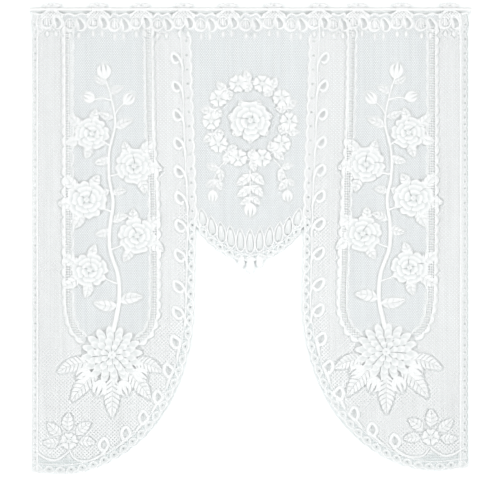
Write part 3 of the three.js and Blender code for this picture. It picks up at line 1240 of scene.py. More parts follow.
@dataclass
class Edges:
    """The bands down the outer sides and along the free edges, with their worked lines and eyelets."""

    trim: float = 0.6
    line_half: float = 3.3
    fine_half: float = 1.8
    inner_half: float = 1.9
    inner_inset: float = 25.0
    upper_inset: float = 29.0
    drop_inset: float = 20.0
    almond_width: float = 19.0
    drop_almond_width: float = 16.0
    almond_foot: float = 1.6
    almond_steps: int = 8
    rim_radius: float = 3.9
    rim_cord: float = 0.75
    selvedge_half: float = 1.5
    selvedge_top: float = -14.0
    selvedge_step: float = 3.05
    selvedge_inset: float = 5.4
    selvedge_wave: float = 3.6
    selvedge_shades: tuple = (0.4, 1.5)

    def bands(self) -> list[Patch]:
        """Lay out the bands' grounds.

        Returns:
            Net down the sides and beside the drop, and filet along the edges.
        """
        found = []
        for panel in PANELS:
            sides = [panel.outer_line(inset).points for inset in (self.trim, panel.band_width)]
            found.append(Patch(Zone.BAND, between(*sides)))
            found.append(Patch(Zone.FILET, strip(panel.outer_line(panel.band_width + 3.2, -30.0), 1.6)))
            found.append(Patch(Zone.EDGE, self.along(panel.free_edge(), self.inner_inset + 3.0)))
            upper = panel.upper_edge()
            found.append(Patch(Zone.KNIT, self.along(upper, self.upper_inset)))
            found.append(Patch(Zone.CLEAR, strip(upper.edge(-self.line_half - 1.0), 1.4)))
        return [*found, Patch(Zone.EDGE, self.along(DROP.edge(), self.drop_inset))]

    def along(self, edge: Scallops, inset: float) -> Points:
        """The outline of the ground between a scalloped edge and an even line inside it."""
        return between(edge.edge(self.trim).points, edge.edge(inset, 4, 0.0).points)

    def almonds(self, edge: Scallops, width: float) -> list[Points]:
        """Draw the knitted almond round the eyelet of each scallop.

        Args:
            edge: the scalloped edge.
            width: the almonds' width across the edge.

        Returns:
            The closed outlines, each with its outer side first.
        """
        starts = edge.starts()
        t = np.linspace(0, 1, self.almond_steps + 1)
        foot = self.almond_foot
        found = []
        for a, b in zip(starts, starts[1:]):
            along = a + (b - a) * t
            depth = mix(edge.depth_start, edge.depth_end, a / edge.line.length)
            rim = edge.line.beside(along, edge.turn * (depth * np.sin(np.pi * t) - self.trim))
            inner = edge.line.beside(along, edge.turn * (-foot - (width - foot) * np.sin(np.pi * t) ** 0.8))
            found.append(between(rim, inner[1:-1]))
        return found

    def plates(self) -> list[Patch]:
        """The closely knitted ground of the almonds, as patches of their own."""
        found = self.almonds(DROP.edge(), self.drop_almond_width)
        for panel in PANELS:
            found += self.almonds(panel.free_edge(), self.almond_width)
        return [Patch(Zone.KNIT, almond) for almond in found]

    def selvedge(self, panel: Panel) -> Line:
        """Draw the line along the outer edge.

        Args:
            panel: the panel.

        Returns:
            The line, straight on the left and in small waves round the eyelets on the right.
        """
        line = panel.outer_line(0.0, self.selvedge_top)
        along = np.arange(0, line.length, self.selvedge_step)
        wave = np.ones(len(along))
        if panel is RIGHT:
            start = self.selvedge_top - panel.side_top - panel.side_pitch / 2
            wave = np.abs(np.sin(np.pi * (along - start) / panel.side_pitch))
        inset = self.selvedge_inset - self.selvedge_wave * wave
        return Line(line.at(along) - np.array([panel.side, 0]) * inset[:, None])

    def add_almonds(self, shells: Shells, edge: Scallops, width: float) -> None:
        """Work each almond: an openly knitted plate round its eyelet, painted greyer towards the eyelet as
        shade, and a fine line inside.

        Args:
            shells: what they are added to.
            edge: the scalloped edge.
            width: the almonds' width across the edge.
        """
        for almond, spot in zip(self.almonds(edge, width), edge.eyelets()):
            out = Line(np.vstack([almond, almond[:1]])).evenly(21).points[:-1] - spot
            inner = spot + out / np.linalg.norm(out, axis=1, keepdims=True) * (self.rim_radius + 0.3)
            grid = np.stack([inner, spot + 0.96 * out], axis=1)
            # The plate is grey near the eyelet and nearly white at its rim: partly its open knitting, partly
            # painted shade round the hole.
            shells.patch(grid, 0.35, closed=True, shade=np.array([[0.85, 0.1]]))
            shells.band(Line(almond[self.almond_steps :]), self.fine_half, crown=0.3, base=0.6)

    def build(self, knit: Material) -> list[Object]:
        """Make the worked lines and the eyelets' rims.

        Args:
            knit: what they are knitted of.

        Returns:
            The two pieces.
        """
        lines, rims = Shells(), Repeats("eyelet_rims")
        for panel, shade in zip(PANELS, self.selvedge_shades):
            lines.band(panel.outer_line(panel.band_width, top=-20.0), self.line_half)
            lines.band(self.selvedge(panel), self.selvedge_half, crown=0.4, shade=shade)
            edge = panel.free_edge()
            lines.band(edge.edge(1.9), 2.1, crown=0.7)
            lines.band(panel.upper_edge().edge(), self.line_half + 0.4)
            lines.band(edge.edge(self.inner_inset, 5, 0.0), self.inner_half)
            self.add_almonds(lines, edge, self.almond_width)
            for spot in np.vstack([panel.side_eyelets(), edge.eyelets()[:-1], panel.upper_eyelets()]):
                rims.add(spot)
        drop = DROP.edge()
        lines.band(drop.edge(1.6), 1.6, crown=0.6)
        lines.band(drop.edge(self.drop_inset, 5, 0.0), self.inner_half)
        self.add_almonds(lines, drop, self.drop_almond_width)
        for spot in drop.eyelets():
            rims.add(spot)
        sizes = {"Radius": self.rim_radius * MM, "Cord": self.rim_cord * MM}
        return [piece(lines.mesh("worked_edge_lines"), knit), rims.build(rim_form, sizes, knit)]


@dataclass(frozen=True)
class Loop:
    """One loop of the vine on the chart: its middle, half its width and height, and how it leans."""

    column: float
    row: float
    half: float
    tall: float
    lean: float

    def ring(self, grow: float = 1.0) -> Points:
        """The loop's egg-shaped outline on the left panel, as a closed ring in mm."""
        angle = np.linspace(0, 2 * np.pi, 29)
        x = self.half * np.cos(angle) * (1 - 0.10 * np.sin(angle))
        egg = np.column_stack([x, self.tall * np.sin(angle)]) * CHART_SQUARE * grow
        return chart(self.column, self.row) + turned(egg, self.lean)

    def place(self, across: float, up: float) -> Points:
        """A place beside the loop's middle, in its own halves and leaning with it."""
        own = np.array([[across * self.half, up * self.tall]]) * CHART_SQUARE
        return chart(self.column, self.row) + turned(own, self.lean)[0]


@dataclass
class Vine:
    """The vine of loops that runs down inside the bands of the free edges."""

    half_width: float = 5.5
    stem_half: float = 2.6
    on_trunk: int = 10
    ribbon_count: int = 60
    taper: tuple = ((0, 0.06, 0.4, 0.6, 1), (0.4, 0.92, 1.0, 0.88, 0.55))
    way_round: tuple = (
        (0.60, -0.62), (0.05, -0.84), (-0.60, -0.54), (-0.80, 0.05),
        (-0.48, 0.64), (0.10, 0.84), (0.62, 0.45), (1.00, -0.15),
    )
    loops: tuple = (
        Loop(174.8, 58.4, 4.3, 6.3, 18),
        Loop(175.8, 86.6, 4.4, 6.4, 18),
        Loop(176.8, 115.4, 4.4, 6.5, 18),
        Loop(177.8, 143.6, 4.5, 6.6, 18),
        Loop(178.7, 171.8, 4.6, 6.8, 20),
        Loop(179.4, 198.0, 4.7, 7.0, 22),
        Loop(179.8, 226.0, 4.8, 7.2, 26),
        Loop(179.2, 255.8, 4.7, 7.6, 30),
        Loop(178.0, 286.8, 4.7, 7.6, 30),
        Loop(177.4, 313.0, 4.7, 7.6, 28),
        Loop(175.2, 342.0, 4.9, 7.6, 20),
        Loop(168.4, 370.4, 5.0, 7.8, 14),
        Loop(158.2, 397.2, 5.0, 7.8, 6),
        Loop(143.4, 417.4, 5.0, 7.8, -4),
        Loop(125.4, 433.4, 5.0, 7.6, -12),
        Loop(103.4, 444.6, 5.0, 7.2, -18),
    )
    trunk: tuple = (
        (181.0, 24), (180.6, 36), (181.4, 50), (182.4, 66), (182.6, 80), (183.0, 96), (183.6, 110),
        (183.8, 125), (184.4, 140), (185.2, 155), (185.8, 170), (186.6, 186), (187.2, 200), (187.6, 215),
        (188.0, 232), (187.0, 246), (186.8, 262), (186.6, 276), (186.2, 290), (186.0, 304), (185.2, 318),
    )

    def ribbon(self, n: int) -> Line:
        """Draw a loop's ribbon.

        Args:
            n: the loop's number, counted from the heading.

        Returns:
            Its line: from its lower right round it, over its crown and down into the trunk.
        """
        loop = self.loops[n]
        knots = [loop.place(*spot) for spot in self.way_round]
        if n < self.on_trunk:
            columns, rows = np.array(self.trunk, float).T
            for row in (loop.row + 7.5, loop.row + 13.5):
                knots.append(chart(float(np.interp(row, rows, columns)), row))
        else:
            edge = LEFT.free_path()
            near = int(np.argmin(np.linalg.norm(edge.points - chart(loop.column, loop.row), axis=1)))
            knots += list(edge.beside(edge.run[near] + np.array([24.0, 56.0]), np.array([29.0, 25.5])))
        return curve_through(knots, self.ribbon_count)

    def patches(self) -> list[Patch]:
        """Filet round the loops and their tails, and the open slit inside each loop."""
        outlines = [strip(curve_through(charted(self.trunk), 90), 4.5)]
        for n, loop in enumerate(self.loops):
            outlines += [strip(self.ribbon(n), self.half_width + 2.4), loop.ring(0.8)[:-1]]
        return [Patch(Zone.CLEAR, panel.fit(outline)) for panel in PANELS for outline in outlines]

    def build(self, knit: Material) -> Object:
        """Make the trunk, the loops and their tails.

        Args:
            knit: what they are knitted of.

        Returns:
            The piece.
        """
        shells = Shells()
        trunk = curve_through(charted(self.trunk), 120)
        ribbons = [self.ribbon(n) for n in range(len(self.loops))]
        width = self.half_width * np.interp(np.linspace(0, 1, self.ribbon_count), *self.taper)
        for panel in PANELS:
            shells.band(Line(panel.fit(trunk.points)), self.stem_half, crown=0.4, base=0.4)
            for ribbon in ribbons:
                shells.band(Line(panel.fit(ribbon.points)), width, crown=0.6, base=0.5)
        return piece(shells.mesh("loop_vine"), knit)


@dataclass
class Garlands:
    """The ladder garland round each panel's middle: a thick scalloped line, rungs and fine arches."""

    line_half: float = 2.3
    scallop_depth: float = 5.4
    scallop_pitch: float = 34.6
    rung_cord: float = 2.5
    channel: float = 20.0
    arch_half: float = 1.8
    arch_pitch: float = 48.0
    arch_depth: float = 9.0
    slim_top: float = 0.75
    slim_from: float = 350.0
    slim_over: float = 400.0
    columns: tuple = (
        # the thick line's way on the left panel, from the heading down, for the two sides
        (
            (65.6, 26), (65.6, 120), (65.6, 210), (65.8, 290), (66.4, 308), (69.8, 324), (75.4, 335),
            (83.6, 342),
        ),
        (
            (151.6, 28), (151.9, 60), (152.4, 90), (153.0, 120), (154.2, 150), (156.4, 190), (157.5, 240),
            (157.6, 300), (156.8, 315), (152.9, 329), (146.8, 338), (139.0, 344),
        ),
    )

    def ways(self, panel: Panel) -> list[tuple[Line, int]]:
        """The thick lines on a panel, each with the side on which its rungs lie."""
        found = []
        for turn, knots in zip((1, -1), self.columns):
            line = curve_through(charted(knots), 220)
            found.append((Line(panel.fit(line.points)), turn * panel.side))
        return found

    def arches(self, line: Line, turn: int) -> Line:
        """The fine arches on the far side of a thick line's rungs."""
        count = round(line.length / self.arch_pitch)
        along = np.linspace(0, line.length, count * 12 + 1)
        bulge = np.abs(np.sin(np.pi * count * along / line.length)) ** 0.7
        return Line(line.beside(along, turn * (self.channel + 1.0 + self.arch_depth * bulge)))

    def scallops(self, panel: Panel, line: Line, turn: int) -> tuple[np.ndarray, np.ndarray]:
        """Space the thick line's scallops; it is slim high up beside the drop.

        Args:
            panel: the panel.
            line: the thick line.
            turn: the side on which its rungs lie.

        Returns:
            Distances along the line, and half its width at each.
        """
        count = round(line.length / self.scallop_pitch)
        along = np.linspace(0, line.length, count * 8 + 1)
        bulge = np.abs(np.sin(np.pi * count * along / line.length)) ** 1.2
        half = self.line_half + self.scallop_depth * bulge
        if turn * panel.side < 0:
            half = half * mix(self.slim_top, 1.0, smooth((along - self.slim_from) / self.slim_over))
        return along, half

    def add_rungs(self, rungs: Repeats, near: Line, far: Line) -> None:
        """Lay level rungs on the filet's own threads.

        Args:
            rungs: what they are added to.
            near: the thick line.
            far: the channel's far side.
        """
        top = min(near.points[0, 1], far.points[0, 1])
        foot = max(near.points[-1, 1], far.points[-1, 1])
        for z in np.arange(math.floor(top / RUNG_PITCH), foot / RUNG_PITCH, -1.0) * RUNG_PITCH:
            ends = [np.interp(z, side.points[::-1, 1], side.points[::-1, 0]) for side in (near, far)]
            rungs.add(np.array([sum(ends) / 2, z]), abs(ends[1] - ends[0]) * MM)

    def patches(self) -> list[Patch]:
        """Lay out the garlands' grounds.

        Returns:
            Close filet between the rungs, and clear ground outside the thick lines.
        """
        found = []
        for panel in PANELS:
            for line, turn in self.ways(panel):
                along, half = self.scallops(panel, line, turn)
                rim = line.beside(along, -turn * (2 * half + 3.4))
                found.append(Patch(Zone.LADDER, between(line.points[::4], self.arches(line, turn).points)))
                found.append(Patch(Zone.CLEAR, between(line.points[::4], rim)))
        return found

    def build(self, knit: Material) -> list[Object]:
        """Make the lines and rungs.

        Args:
            knit: what they are knitted of.

        Returns:
            The two pieces.
        """
        shells, rungs = Shells(), Repeats("garland_rungs")
        for panel in PANELS:
            for line, turn in self.ways(panel):
                along, half = self.scallops(panel, line, turn)
                shells.band(Line(line.beside(along, -turn * (half - 1.5))), half, crown=0.6)
                shells.band(self.arches(line, turn), self.arch_half, crown=0.5)
                self.add_rungs(rungs, line, line.moved(turn * self.channel))
        made = rungs.build(rung_form, {"Cord": self.rung_cord * MM}, knit)
        return [piece(shells.mesh("garland_lines"), knit), made]


# The heading


@dataclass(frozen=True)
class Lobe:
    """One lobe of a medallion in mm: its place and size, where and how widely its rim is heavy.

    Each petal is given by its foot's x and z, how far it is turned, its length and half its width.
    """

    apart: float
    half: float
    tall: float
    lean: float
    pinch: float
    heavy: float
    spread: float
    petals: tuple

    def ring(self, grow: float = 1.0) -> Points:
        """The lobe's outline about the medallion's middle, as a closed ring in mm."""
        angle = np.linspace(0, 2 * np.pi, 37)
        x = self.half * np.cos(angle) * (1 - self.pinch * np.sin(angle))
        egg = np.column_stack([x, self.tall * np.sin(angle)]) * grow / (1 + 0.3 * self.pinch)
        return np.array([self.apart, 0.0]) + turned(egg, self.lean)


@dataclass
class Heading:
    """The row of twin-lobed medallions with hanging drops, the piped top edge and the ten tabs."""

    piping_half: float = 3.1
    piping_reach: float = 35.0
    piping_z: float = -14.5
    lobes: tuple = (
        Lobe(
            -17.5, 21.5, 25.0, 3, 0.30, 236, 1.2,
            petals=((0, -15, 2, 33, 4.0), (-9.0, -9, -7, 22, 2.0), (9.5, -11, 10, 24, 2.2)),
        ),
        Lobe(17.5, 18.5, 28.0, 20, 0.30, 338, 0.6, petals=((-3, -22, 14, 44, 4.2), (-11, -8, 16, 22, 1.6))),
    )
    drops: tuple = (-16.0, 14.0)
    drop_top: float = -31.0
    drop_length: float = 21.0
    under_z: float = -43.0
    between_z: float = -51.0
    tab_outline: tuple = (
        (-30, 40), (-17, 38), (-11, 28), (-5, 20), (2, 19), (8, 24), (13, 31), (18, 31), (22, 18),
    )
    rod_clearance: float = 6.7
    wall: float = 0.9
    tab_edge: float = 7.4
    tab_piping: float = 0.8
    eyelet_z: float = 13.5
    slit_x: float = 4.5
    slit_z: float = -10.5

    def medallions(self) -> list[Points]:
        """The middles of the medallions, under the tabs and between them."""
        found = []
        for n, tab in enumerate(TABS):
            found.append(np.array([tab.x, self.under_z]))
            if n + 1 < len(TABS):
                found.append(np.array([(tab.x + TABS[n + 1].x) / 2, self.between_z]))
        return found

    def patches(self) -> list[Patch]:
        """Lay out the heading's grounds.

        Returns:
            Filet inside the lobes and clear ground round them and the drops.
        """
        found = []
        for middle in self.medallions():
            found += [Patch(Zone.CLEAR, middle + lobe.ring(1.10)[:-1]) for lobe in self.lobes]
            found.append(Patch(Zone.FILET, middle + self.lobes[0].ring(0.8)[:-1]))
            for x in self.drops:
                tip = middle + np.array([x, self.drop_top - self.drop_length / 2])
                found.append(Patch(Zone.CLEAR, tip + ring_of(np.zeros(2), 1.0, 12) * np.array([9.5, 14.0])))
        return found

    def add_petal(self, shells: Shells, foot: Points, turn: float, long: float, half: float) -> None:
        """Work one upright petal inside a lobe.

        Args:
            shells: what it is added to.
            foot: where it stands.
            turn: how far it is turned, in degrees.
            long: its length.
            half: half its width.
        """
        t = np.linspace(0, 1, 11)
        width = np.maximum(half * np.sin(np.pi * t**0.8) ** 0.7, 0.35)
        spine = turned(np.column_stack([np.zeros(11), t * long]), turn) + foot
        across = np.linspace(-1, 1, 5)
        way = turned(np.array([[1.0, 0.0]]), turn)[0]
        grid = spine[:, None] + way * (width[:, None] * across)[..., None]
        shells.patch(grid, 0.5 + 0.4 * np.sqrt(1 - across**2))

    def add_medallion(self, shells: Shells, middle: Points) -> None:
        """Work one medallion: two lobes with slit petals inside, and two drops below.

        Args:
            shells: what it is added to.
            middle: where it lies.
        """
        for lobe in self.lobes:
            ring = lobe.ring(0.91)
            share = np.linspace(0, 2 * np.pi, len(ring))
            low = np.clip(np.cos(share - math.radians(lobe.heavy)), 0, 1) ** lobe.spread
            shells.band(Line(middle + ring), (1.8 + 3.4 * low)[:-1], closed=True, crown=0.6, base=0.5)
            for x, z, turn, long, half in lobe.petals:
                self.add_petal(shells, middle + np.array([lobe.apart + x, z]), turn, long, half)
        share = np.linspace(0, 1, 14)
        width = np.interp(share, [0, 0.25, 0.5, 0.75, 1], [1.2, 5.0, 7.2, 5.0, 1.0])
        for x in self.drops:
            path = np.column_stack([np.full(14, x), self.drop_top - self.drop_length * share])
            shells.band(Line(middle + path), width, crown=0.6, base=0.5)

    def section(self, back: bool) -> Points:
        """Draw a tab's middle line from the side.

        Args:
            back: whether it is the side behind the rod.

        Returns:
            Its y and z, up from the cloth, over the rod and up the frill.
        """
        radius = self.rod_clearance + self.wall / 2
        angle = np.radians(np.linspace(-24, 86, 15))
        arc = radius * np.column_stack([np.cos(angle), np.sin(angle)])
        foot = [(0.45, -30.0), (1.2, -24.0), (3.2, -12.5)]
        frill = [(0.42, 10.0), (0.42, 16.0), (0.42, 22.0)]
        return np.vstack([foot, arc, frill]) * [1 if back else -1, 1]

    def over_tabs(self, x: np.ndarray, z: np.ndarray) -> np.ndarray:
        """Find the surface that faces the room, over the cloth and the tabs' fronts.

        Args:
            x: places along the rod, in mm.
            z: heights, in mm.

        Returns:
            The surface's y at each place, in mm.
        """
        levels, reaches = np.array(self.tab_outline, float).T
        front = self.section(False)
        rise = front[:, 1] < 4.0
        seat = np.interp(z, front[rise, 1], front[rise, 0]) - self.wall / 2
        y = DRAPE.fold(x, z)
        for tab in TABS:
            near = smooth((np.interp(z, levels, reaches) + 4.0 - np.abs(x - tab.x)) / 4.0) * (z > -30)
            y = mix(y, np.minimum(y, seat), near)
        return y

    def columns_of(self, reach: np.ndarray) -> np.ndarray:
        """The places across a tab: two piped edges of fixed width and an even middle."""
        piped = -reach[:, None] + np.array([0.0, 0.25, 1.0]) * self.tab_edge
        inner = np.linspace(-1, 1, 13)[1:-1] * (reach - self.tab_edge)[:, None]
        return np.hstack([piped, inner, -piped[:, ::-1]])

    def tab_shell(self, tab: Tab, back: bool) -> tuple[np.ndarray, np.ndarray]:
        """Shape one side of a tab.

        Args:
            tab: the tab.
            back: whether it is the side behind the rod.

        Returns:
            The places of its outer and its inner face, each (rows, columns, 3) in mm.
        """
        levels, reaches = np.array(self.tab_outline, float).T
        line = Line(self.section(back)).evenly(38).points
        reach = np.interp(line[:, 1], levels, reaches)
        x = self.columns_of(reach)
        share = x / reach[:, None]
        flare = smooth((line[:, 1] - 7) / 15)[:, None]
        ruffle = 1.4 * flare * np.sin(share * 2.6 * np.pi + (0.5 if back else 0.0))
        lift = flare * (1.8 * np.cos(share * 2.5 * np.pi) - 1.8)
        way = np.gradient(line, axis=0)
        way /= np.linalg.norm(way, axis=1, keepdims=True)
        out = np.column_stack([way[:, 1], -way[:, 0]]) * (1 if back else -1)
        piped = np.zeros(x.shape)
        piped[:, [1, -2]] = self.tab_piping
        faces = []
        for half in (self.wall / 2 + piped, -self.wall / 2):
            y = line[:, 0][:, None] + ruffle + out[:, 0][:, None] * half
            z = line[:, 1][:, None] + lift + out[:, 1][:, None] * half
            faces.append(np.stack([tab.x + x, y, z], axis=-1))
        return faces[0], faces[1]

    def tab_kinds(self, tab: Tab, middles: np.ndarray, columns: int) -> np.ndarray:
        """Choose the ground of each face of a tab.

        Args:
            tab: the tab.
            middles: the faces' middles, row by row.
            columns: how many faces a row has.

        Returns:
            0 where it is worked closely, at its edges and frill; 1 where it is net; 2 where it is open.
        """
        column = np.tile(np.arange(columns), len(middles) // columns)
        piped = (column < 2) | (column > columns - 3)
        kind = np.where(piped | (middles[:, 2] > -9.0), 0, 1)
        aside = np.abs(middles[:, 0] - tab.x)
        kind[np.hypot(aside, middles[:, 2] - self.eyelet_z) < 3.0] = 2
        kind[(np.abs(aside - self.slit_x) < 2.2) & (np.abs(middles[:, 2] - self.slit_z) < 3.6)] = 2
        return kind

    def tab_mesh(self, knit: Material) -> Mesh:
        """Make all tabs one mesh of closed thin shells.

        Args:
            knit: what their edges and frills are knitted of.

        Returns:
            The mesh, with its materials.
        """
        places, faces, kinds, count = [], [], [], 0
        for tab, back in [(tab, back) for tab in TABS for back in (False, True)]:
            outside, inner = self.tab_shell(tab, back)
            rows, columns = outside.shape[:2]
            size = rows * columns
            index = np.arange(size).reshape(rows, columns)
            a, b, c, d = index[:-1, :-1], index[:-1, 1:], index[1:, 1:], index[1:, :-1]
            quads = np.stack([a, b, c, d], axis=-1).reshape(-1, 4)
            rim = np.concatenate([index[0], index[1:, -1], index[-1, -2::-1], index[-2::-1, 0]])
            kind = self.tab_kinds(tab, outside.reshape(-1, 3)[quads].mean(axis=1), columns - 1)
            if back:
                quads, rim = quads[:, ::-1], rim[::-1]
            walls = walls_of(rim, size)
            faces.append(np.vstack([quads, quads[:, ::-1] + size, walls]) + count)
            kinds.append(np.concatenate([kind, kind, np.zeros(len(walls), int)]))
            places += [outside.reshape(-1, 3), inner.reshape(-1, 3)]
            count += 2 * size
        mesh = mesh_from("heading_tabs", np.vstack(places), np.vstack(faces))
        mesh.materials.append(knit)
        for zone in (Zone.KNIT, Zone.CLEAR):
            mesh.materials.append(bpy.data.materials[GROUNDS[zone].name])
        mesh.polygons.foreach_set("material_index", np.concatenate(kinds).astype(np.int32))
        return mesh

    def build(self, knit: Material) -> list[Object]:
        """Make the heading's pieces.

        Args:
            knit: what they are knitted of.

        Returns:
            The medallions, the piping and the tabs.
        """
        shells, piping = Shells(), Shells()
        for middle in self.medallions():
            self.add_medallion(shells, middle)
        for n, span in enumerate(TOP_EDGE.knots()):
            if n > 0:
                span = np.vstack([[TABS[n - 1].x + self.piping_reach, self.piping_z], span])
            if n < len(TABS):
                span = np.vstack([span, [TABS[n].x - self.piping_reach, self.piping_z]])
            piping.band(curve_through(span, 44), self.piping_half, crown=1.2)
        return [
            piece(shells.mesh("heading_medallions", self.over_tabs), knit),
            piece(piping.mesh("heading_piping", self.over_tabs), knit),
            piece(self.tab_mesh(knit), knit),
        ]


# The worked design


class Bloom(Enum):
    """The kinds of blossom."""

    CAMELLIA = "camellia"
    DAHLIA = "dahlia"
    SMALL = "small"


@dataclass(frozen=True)
class PetalRing:
    """One ring of a blossom's petals, with its radii as shares of the blossom's."""

    count: int
    inner: float
    outer: float
    offset: float
    notch: float = 0.0
    point: float = 0.0
    twist: float = 0.0
    base: float = 0.9
    # hidden and shade: the share of each petal that the next ring covers, and how grey its foot is painted
    # there, as painted shade under the overlapping petals.
    hidden: float = 0.3
    shade: float = 0.9


BLOOMS = {
    Bloom.CAMELLIA: (
        PetalRing(6, 0.52, 1.0, 0.0, notch=0.08, twist=0.10, base=0.5, hidden=0.36),
        PetalRing(5, 0.28, 0.72, 0.5, notch=0.06, twist=0.16, base=0.9, hidden=0.34),
        PetalRing(4, 0.10, 0.45, 0.2, notch=0.04, twist=0.30, base=1.3, hidden=0.25),
    ),
    Bloom.DAHLIA: (
        PetalRing(16, 0.62, 1.0, 0.0, point=0.17, base=0.5, hidden=0.4, shade=0.7),
        PetalRing(14, 0.46, 0.80, 0.5, point=0.17, base=0.8, hidden=0.4, shade=0.7),
        PetalRing(11, 0.28, 0.61, 0.0, point=0.16, base=1.1, hidden=0.35, shade=0.7),
        PetalRing(8, 0.12, 0.38, 0.5, point=0.15, base=1.4, hidden=0.25, shade=0.7),
    ),
    Bloom.SMALL: (PetalRing(5, 0.20, 1.0, 0.0, notch=0.16, base=0.7, hidden=0.1, shade=0.6),),
}


@dataclass
class Worker:
    """Works blossoms, leaves and stems into a mesh, and notes the clear ground round them."""

    panel: Panel | None = None
    gap: float = 1.2
    halo: float = 3.8
    lift: float = 0.6
    leaf_base: float = 0.5
    flatness: float = 0.94
    shells: Shells = field(default_factory=Shells)
    patches: list[Patch] = field(default_factory=list)

    def fit(self, points: Points) -> Points:
        """Move a place charted for the left panel to the panel that is worked."""
        return points if self.panel is None else self.panel.fit(points)

    def clear(self, outline: Points, zone: Zone = Zone.CLEAR) -> None:
        """Note clear ground inside an outline."""
        self.patches.append(Patch(zone, self.fit(outline)))

    def petals(self, middle: Points, radius: float, turn: float, ring: PetalRing) -> None:
        """Work one ring of petals.

        Args:
            middle: the blossom's middle, in mm.
            radius: the blossom's radius.
            turn: how far the blossom is turned, in radians.
            ring: the ring's form.
        """
        span = 2 * np.pi / ring.count
        side = np.linspace(-1, 1, 13)
        share = np.linspace(0, 1, 7)[:, None]
        inner, outer = ring.inner * radius, ring.outer * radius
        height = ring.base + 0.35 * np.sqrt(np.clip((1 - side**4) * (1 - (2 * share - 1) ** 4), 0, 1))
        # Each petal is painted grey at its foot, fading out beyond the share that the next ring hides:
        # painted shade under the overlapping ring.
        shade = np.clip(ring.shade * (1 - smooth((share - ring.hidden) / 0.5)), 0, 1)
        for k in range(ring.count):
            angle = turn + (k + ring.offset) * span
            rim = outer * (1 - 0.15 * side**4 - ring.notch * np.exp(-((side * 3.2) ** 2)))
            rim *= 1 - ring.point * np.abs(side) ** 1.4
            rim *= 1 + 0.02 * np.sin(side * 8 + 2.1 * k) * (ring.notch > 0)
            reach = inner + (rim - inner) * share
            half = span / 2 - self.gap / reach
            swing = angle + side * half + ring.twist * (share - 0.5)
            grid = np.stack([reach * np.cos(swing), reach * np.sin(swing) * self.flatness], axis=-1)
            self.shells.patch(self.fit(middle + grid), height + self.lift, shade=shade)

    def blossom(self, column: float, row: float, size: float, kind: Bloom, turn: float = 0.0) -> None:
        """Work a whole blossom.

        Args:
            column: the chart column of its middle.
            row: the chart row of its middle.
            size: its radius in chart squares.
            kind: which kind it is.
            turn: how far it is turned, in degrees.
        """
        middle, radius, phase = chart(column, row), size * CHART_SQUARE, math.radians(turn)
        for ring in BLOOMS[kind]:
            self.petals(middle, radius, phase, ring)
        heart = radius * (0.22 if kind is Bloom.SMALL else 0.13)
        angle = np.linspace(0, 2 * np.pi, 13)[:-1, None]
        share = np.linspace(0.12, 1, 4)
        grid = heart * share[:, None] * self.oval(angle)
        height = self.lift + 1.6 + 0.6 * np.sqrt(1 - share**2 * 0.95)
        self.shells.patch(self.fit(middle + grid), height, closed=True, shade=0.4 * (1 - share))
        angle = np.linspace(0, 2 * np.pi, 43)[:-1]
        lobes = 1 - 0.05 * (1 - np.abs(np.cos(BLOOMS[kind][0].count * (angle - phase) / 2)))
        self.clear(middle + (radius + self.halo) * lobes[:, None] * self.oval(angle))

    def oval(self, angle: np.ndarray) -> Points:
        """The places on a slightly flattened ring of radius 1 at these angles, in radians."""
        return np.stack([np.cos(angle), np.sin(angle) * self.flatness], axis=-1)

    def leaf(
        self,
        column: float,
        row: float,
        turn: float,
        length: float,
        width: float,
        lobes: int = 4,
        curl: float = 0.06,
    ) -> None:
        """Work a leaf: toothed lobes between open veins, one half bright and one half shaded.

        Args:
            column: the chart column of its foot.
            row: the chart row of its foot.
            turn: the way that it points, in degrees anticlockwise from the right.
            length: its length in chart squares.
            width: its full width in chart squares.
            lobes: how many lobes each side has.
            curl: how far its midrib bends, as a share of its length.
        """
        foot = chart(column, row)
        long, wide = length * CHART_SQUARE, width * CHART_SQUARE / 2

        def half_width(s: np.ndarray) -> np.ndarray:
            """Half the leaf's width along it."""
            return wide * np.sin(np.pi * np.clip(s, 0, 1) ** 0.82) ** 0.75

        def rib(s: np.ndarray) -> np.ndarray:
            """How far the midrib lies beside the straight line."""
            return curl * long * np.sin(np.pi * s)

        cuts = np.linspace(0.02, 0.94, lobes + 1)
        vein = 0.8 / long
        t = np.linspace(0, 1, 6)[:, None]
        share = np.linspace(0, 1, 5)
        crown = 0.3 * np.sqrt(np.clip((1 - (2 * t - 1) ** 4) * (1 - (2 * share - 1) ** 4), 0, 1))
        for side, dark in ((-1, 0.0), (1, 0.35)):
            shade = np.clip(dark * (1 - smooth((share - 0.1) / 0.75)), 0, 1)
            for n, (a, b) in enumerate(zip(cuts, cuts[1:])):
                slant = 0.13 * (1 - 0.5 * n / lobes)
                s = np.minimum(a + vein + (b - a - 2 * vein) * t + slant * share, 0.995)
                reach = half_width(np.minimum(a + (b - a) * t + slant, 0.985)) * (0.84 + 0.20 * t)
                slit = np.minimum(0.9, reach * 0.3)
                across = slit + (reach - slit) * share
                grid = np.stack([s * long, side * across + rib(s)], axis=-1)
                places = foot + turned(grid.reshape(-1, 2), turn).reshape(grid.shape)
                self.shells.patch(self.fit(places), self.lift + self.leaf_base + crown, shade=shade)
        s = np.linspace(0, 1, 17)
        spine = Line(self.fit(foot + turned(np.column_stack([s * long, rib(s)]), turn)))
        self.shells.band(spine, np.interp(s, [0, 1], [1.1, 0.4]), 0.6, self.lift + 0.3)
        edge = half_width(s * 0.96) + self.halo
        sides = [np.column_stack([s * long * 1.03, way * edge + rib(s)]) for way in (1, -1)]
        self.clear(foot + turned(between(*sides), turn))

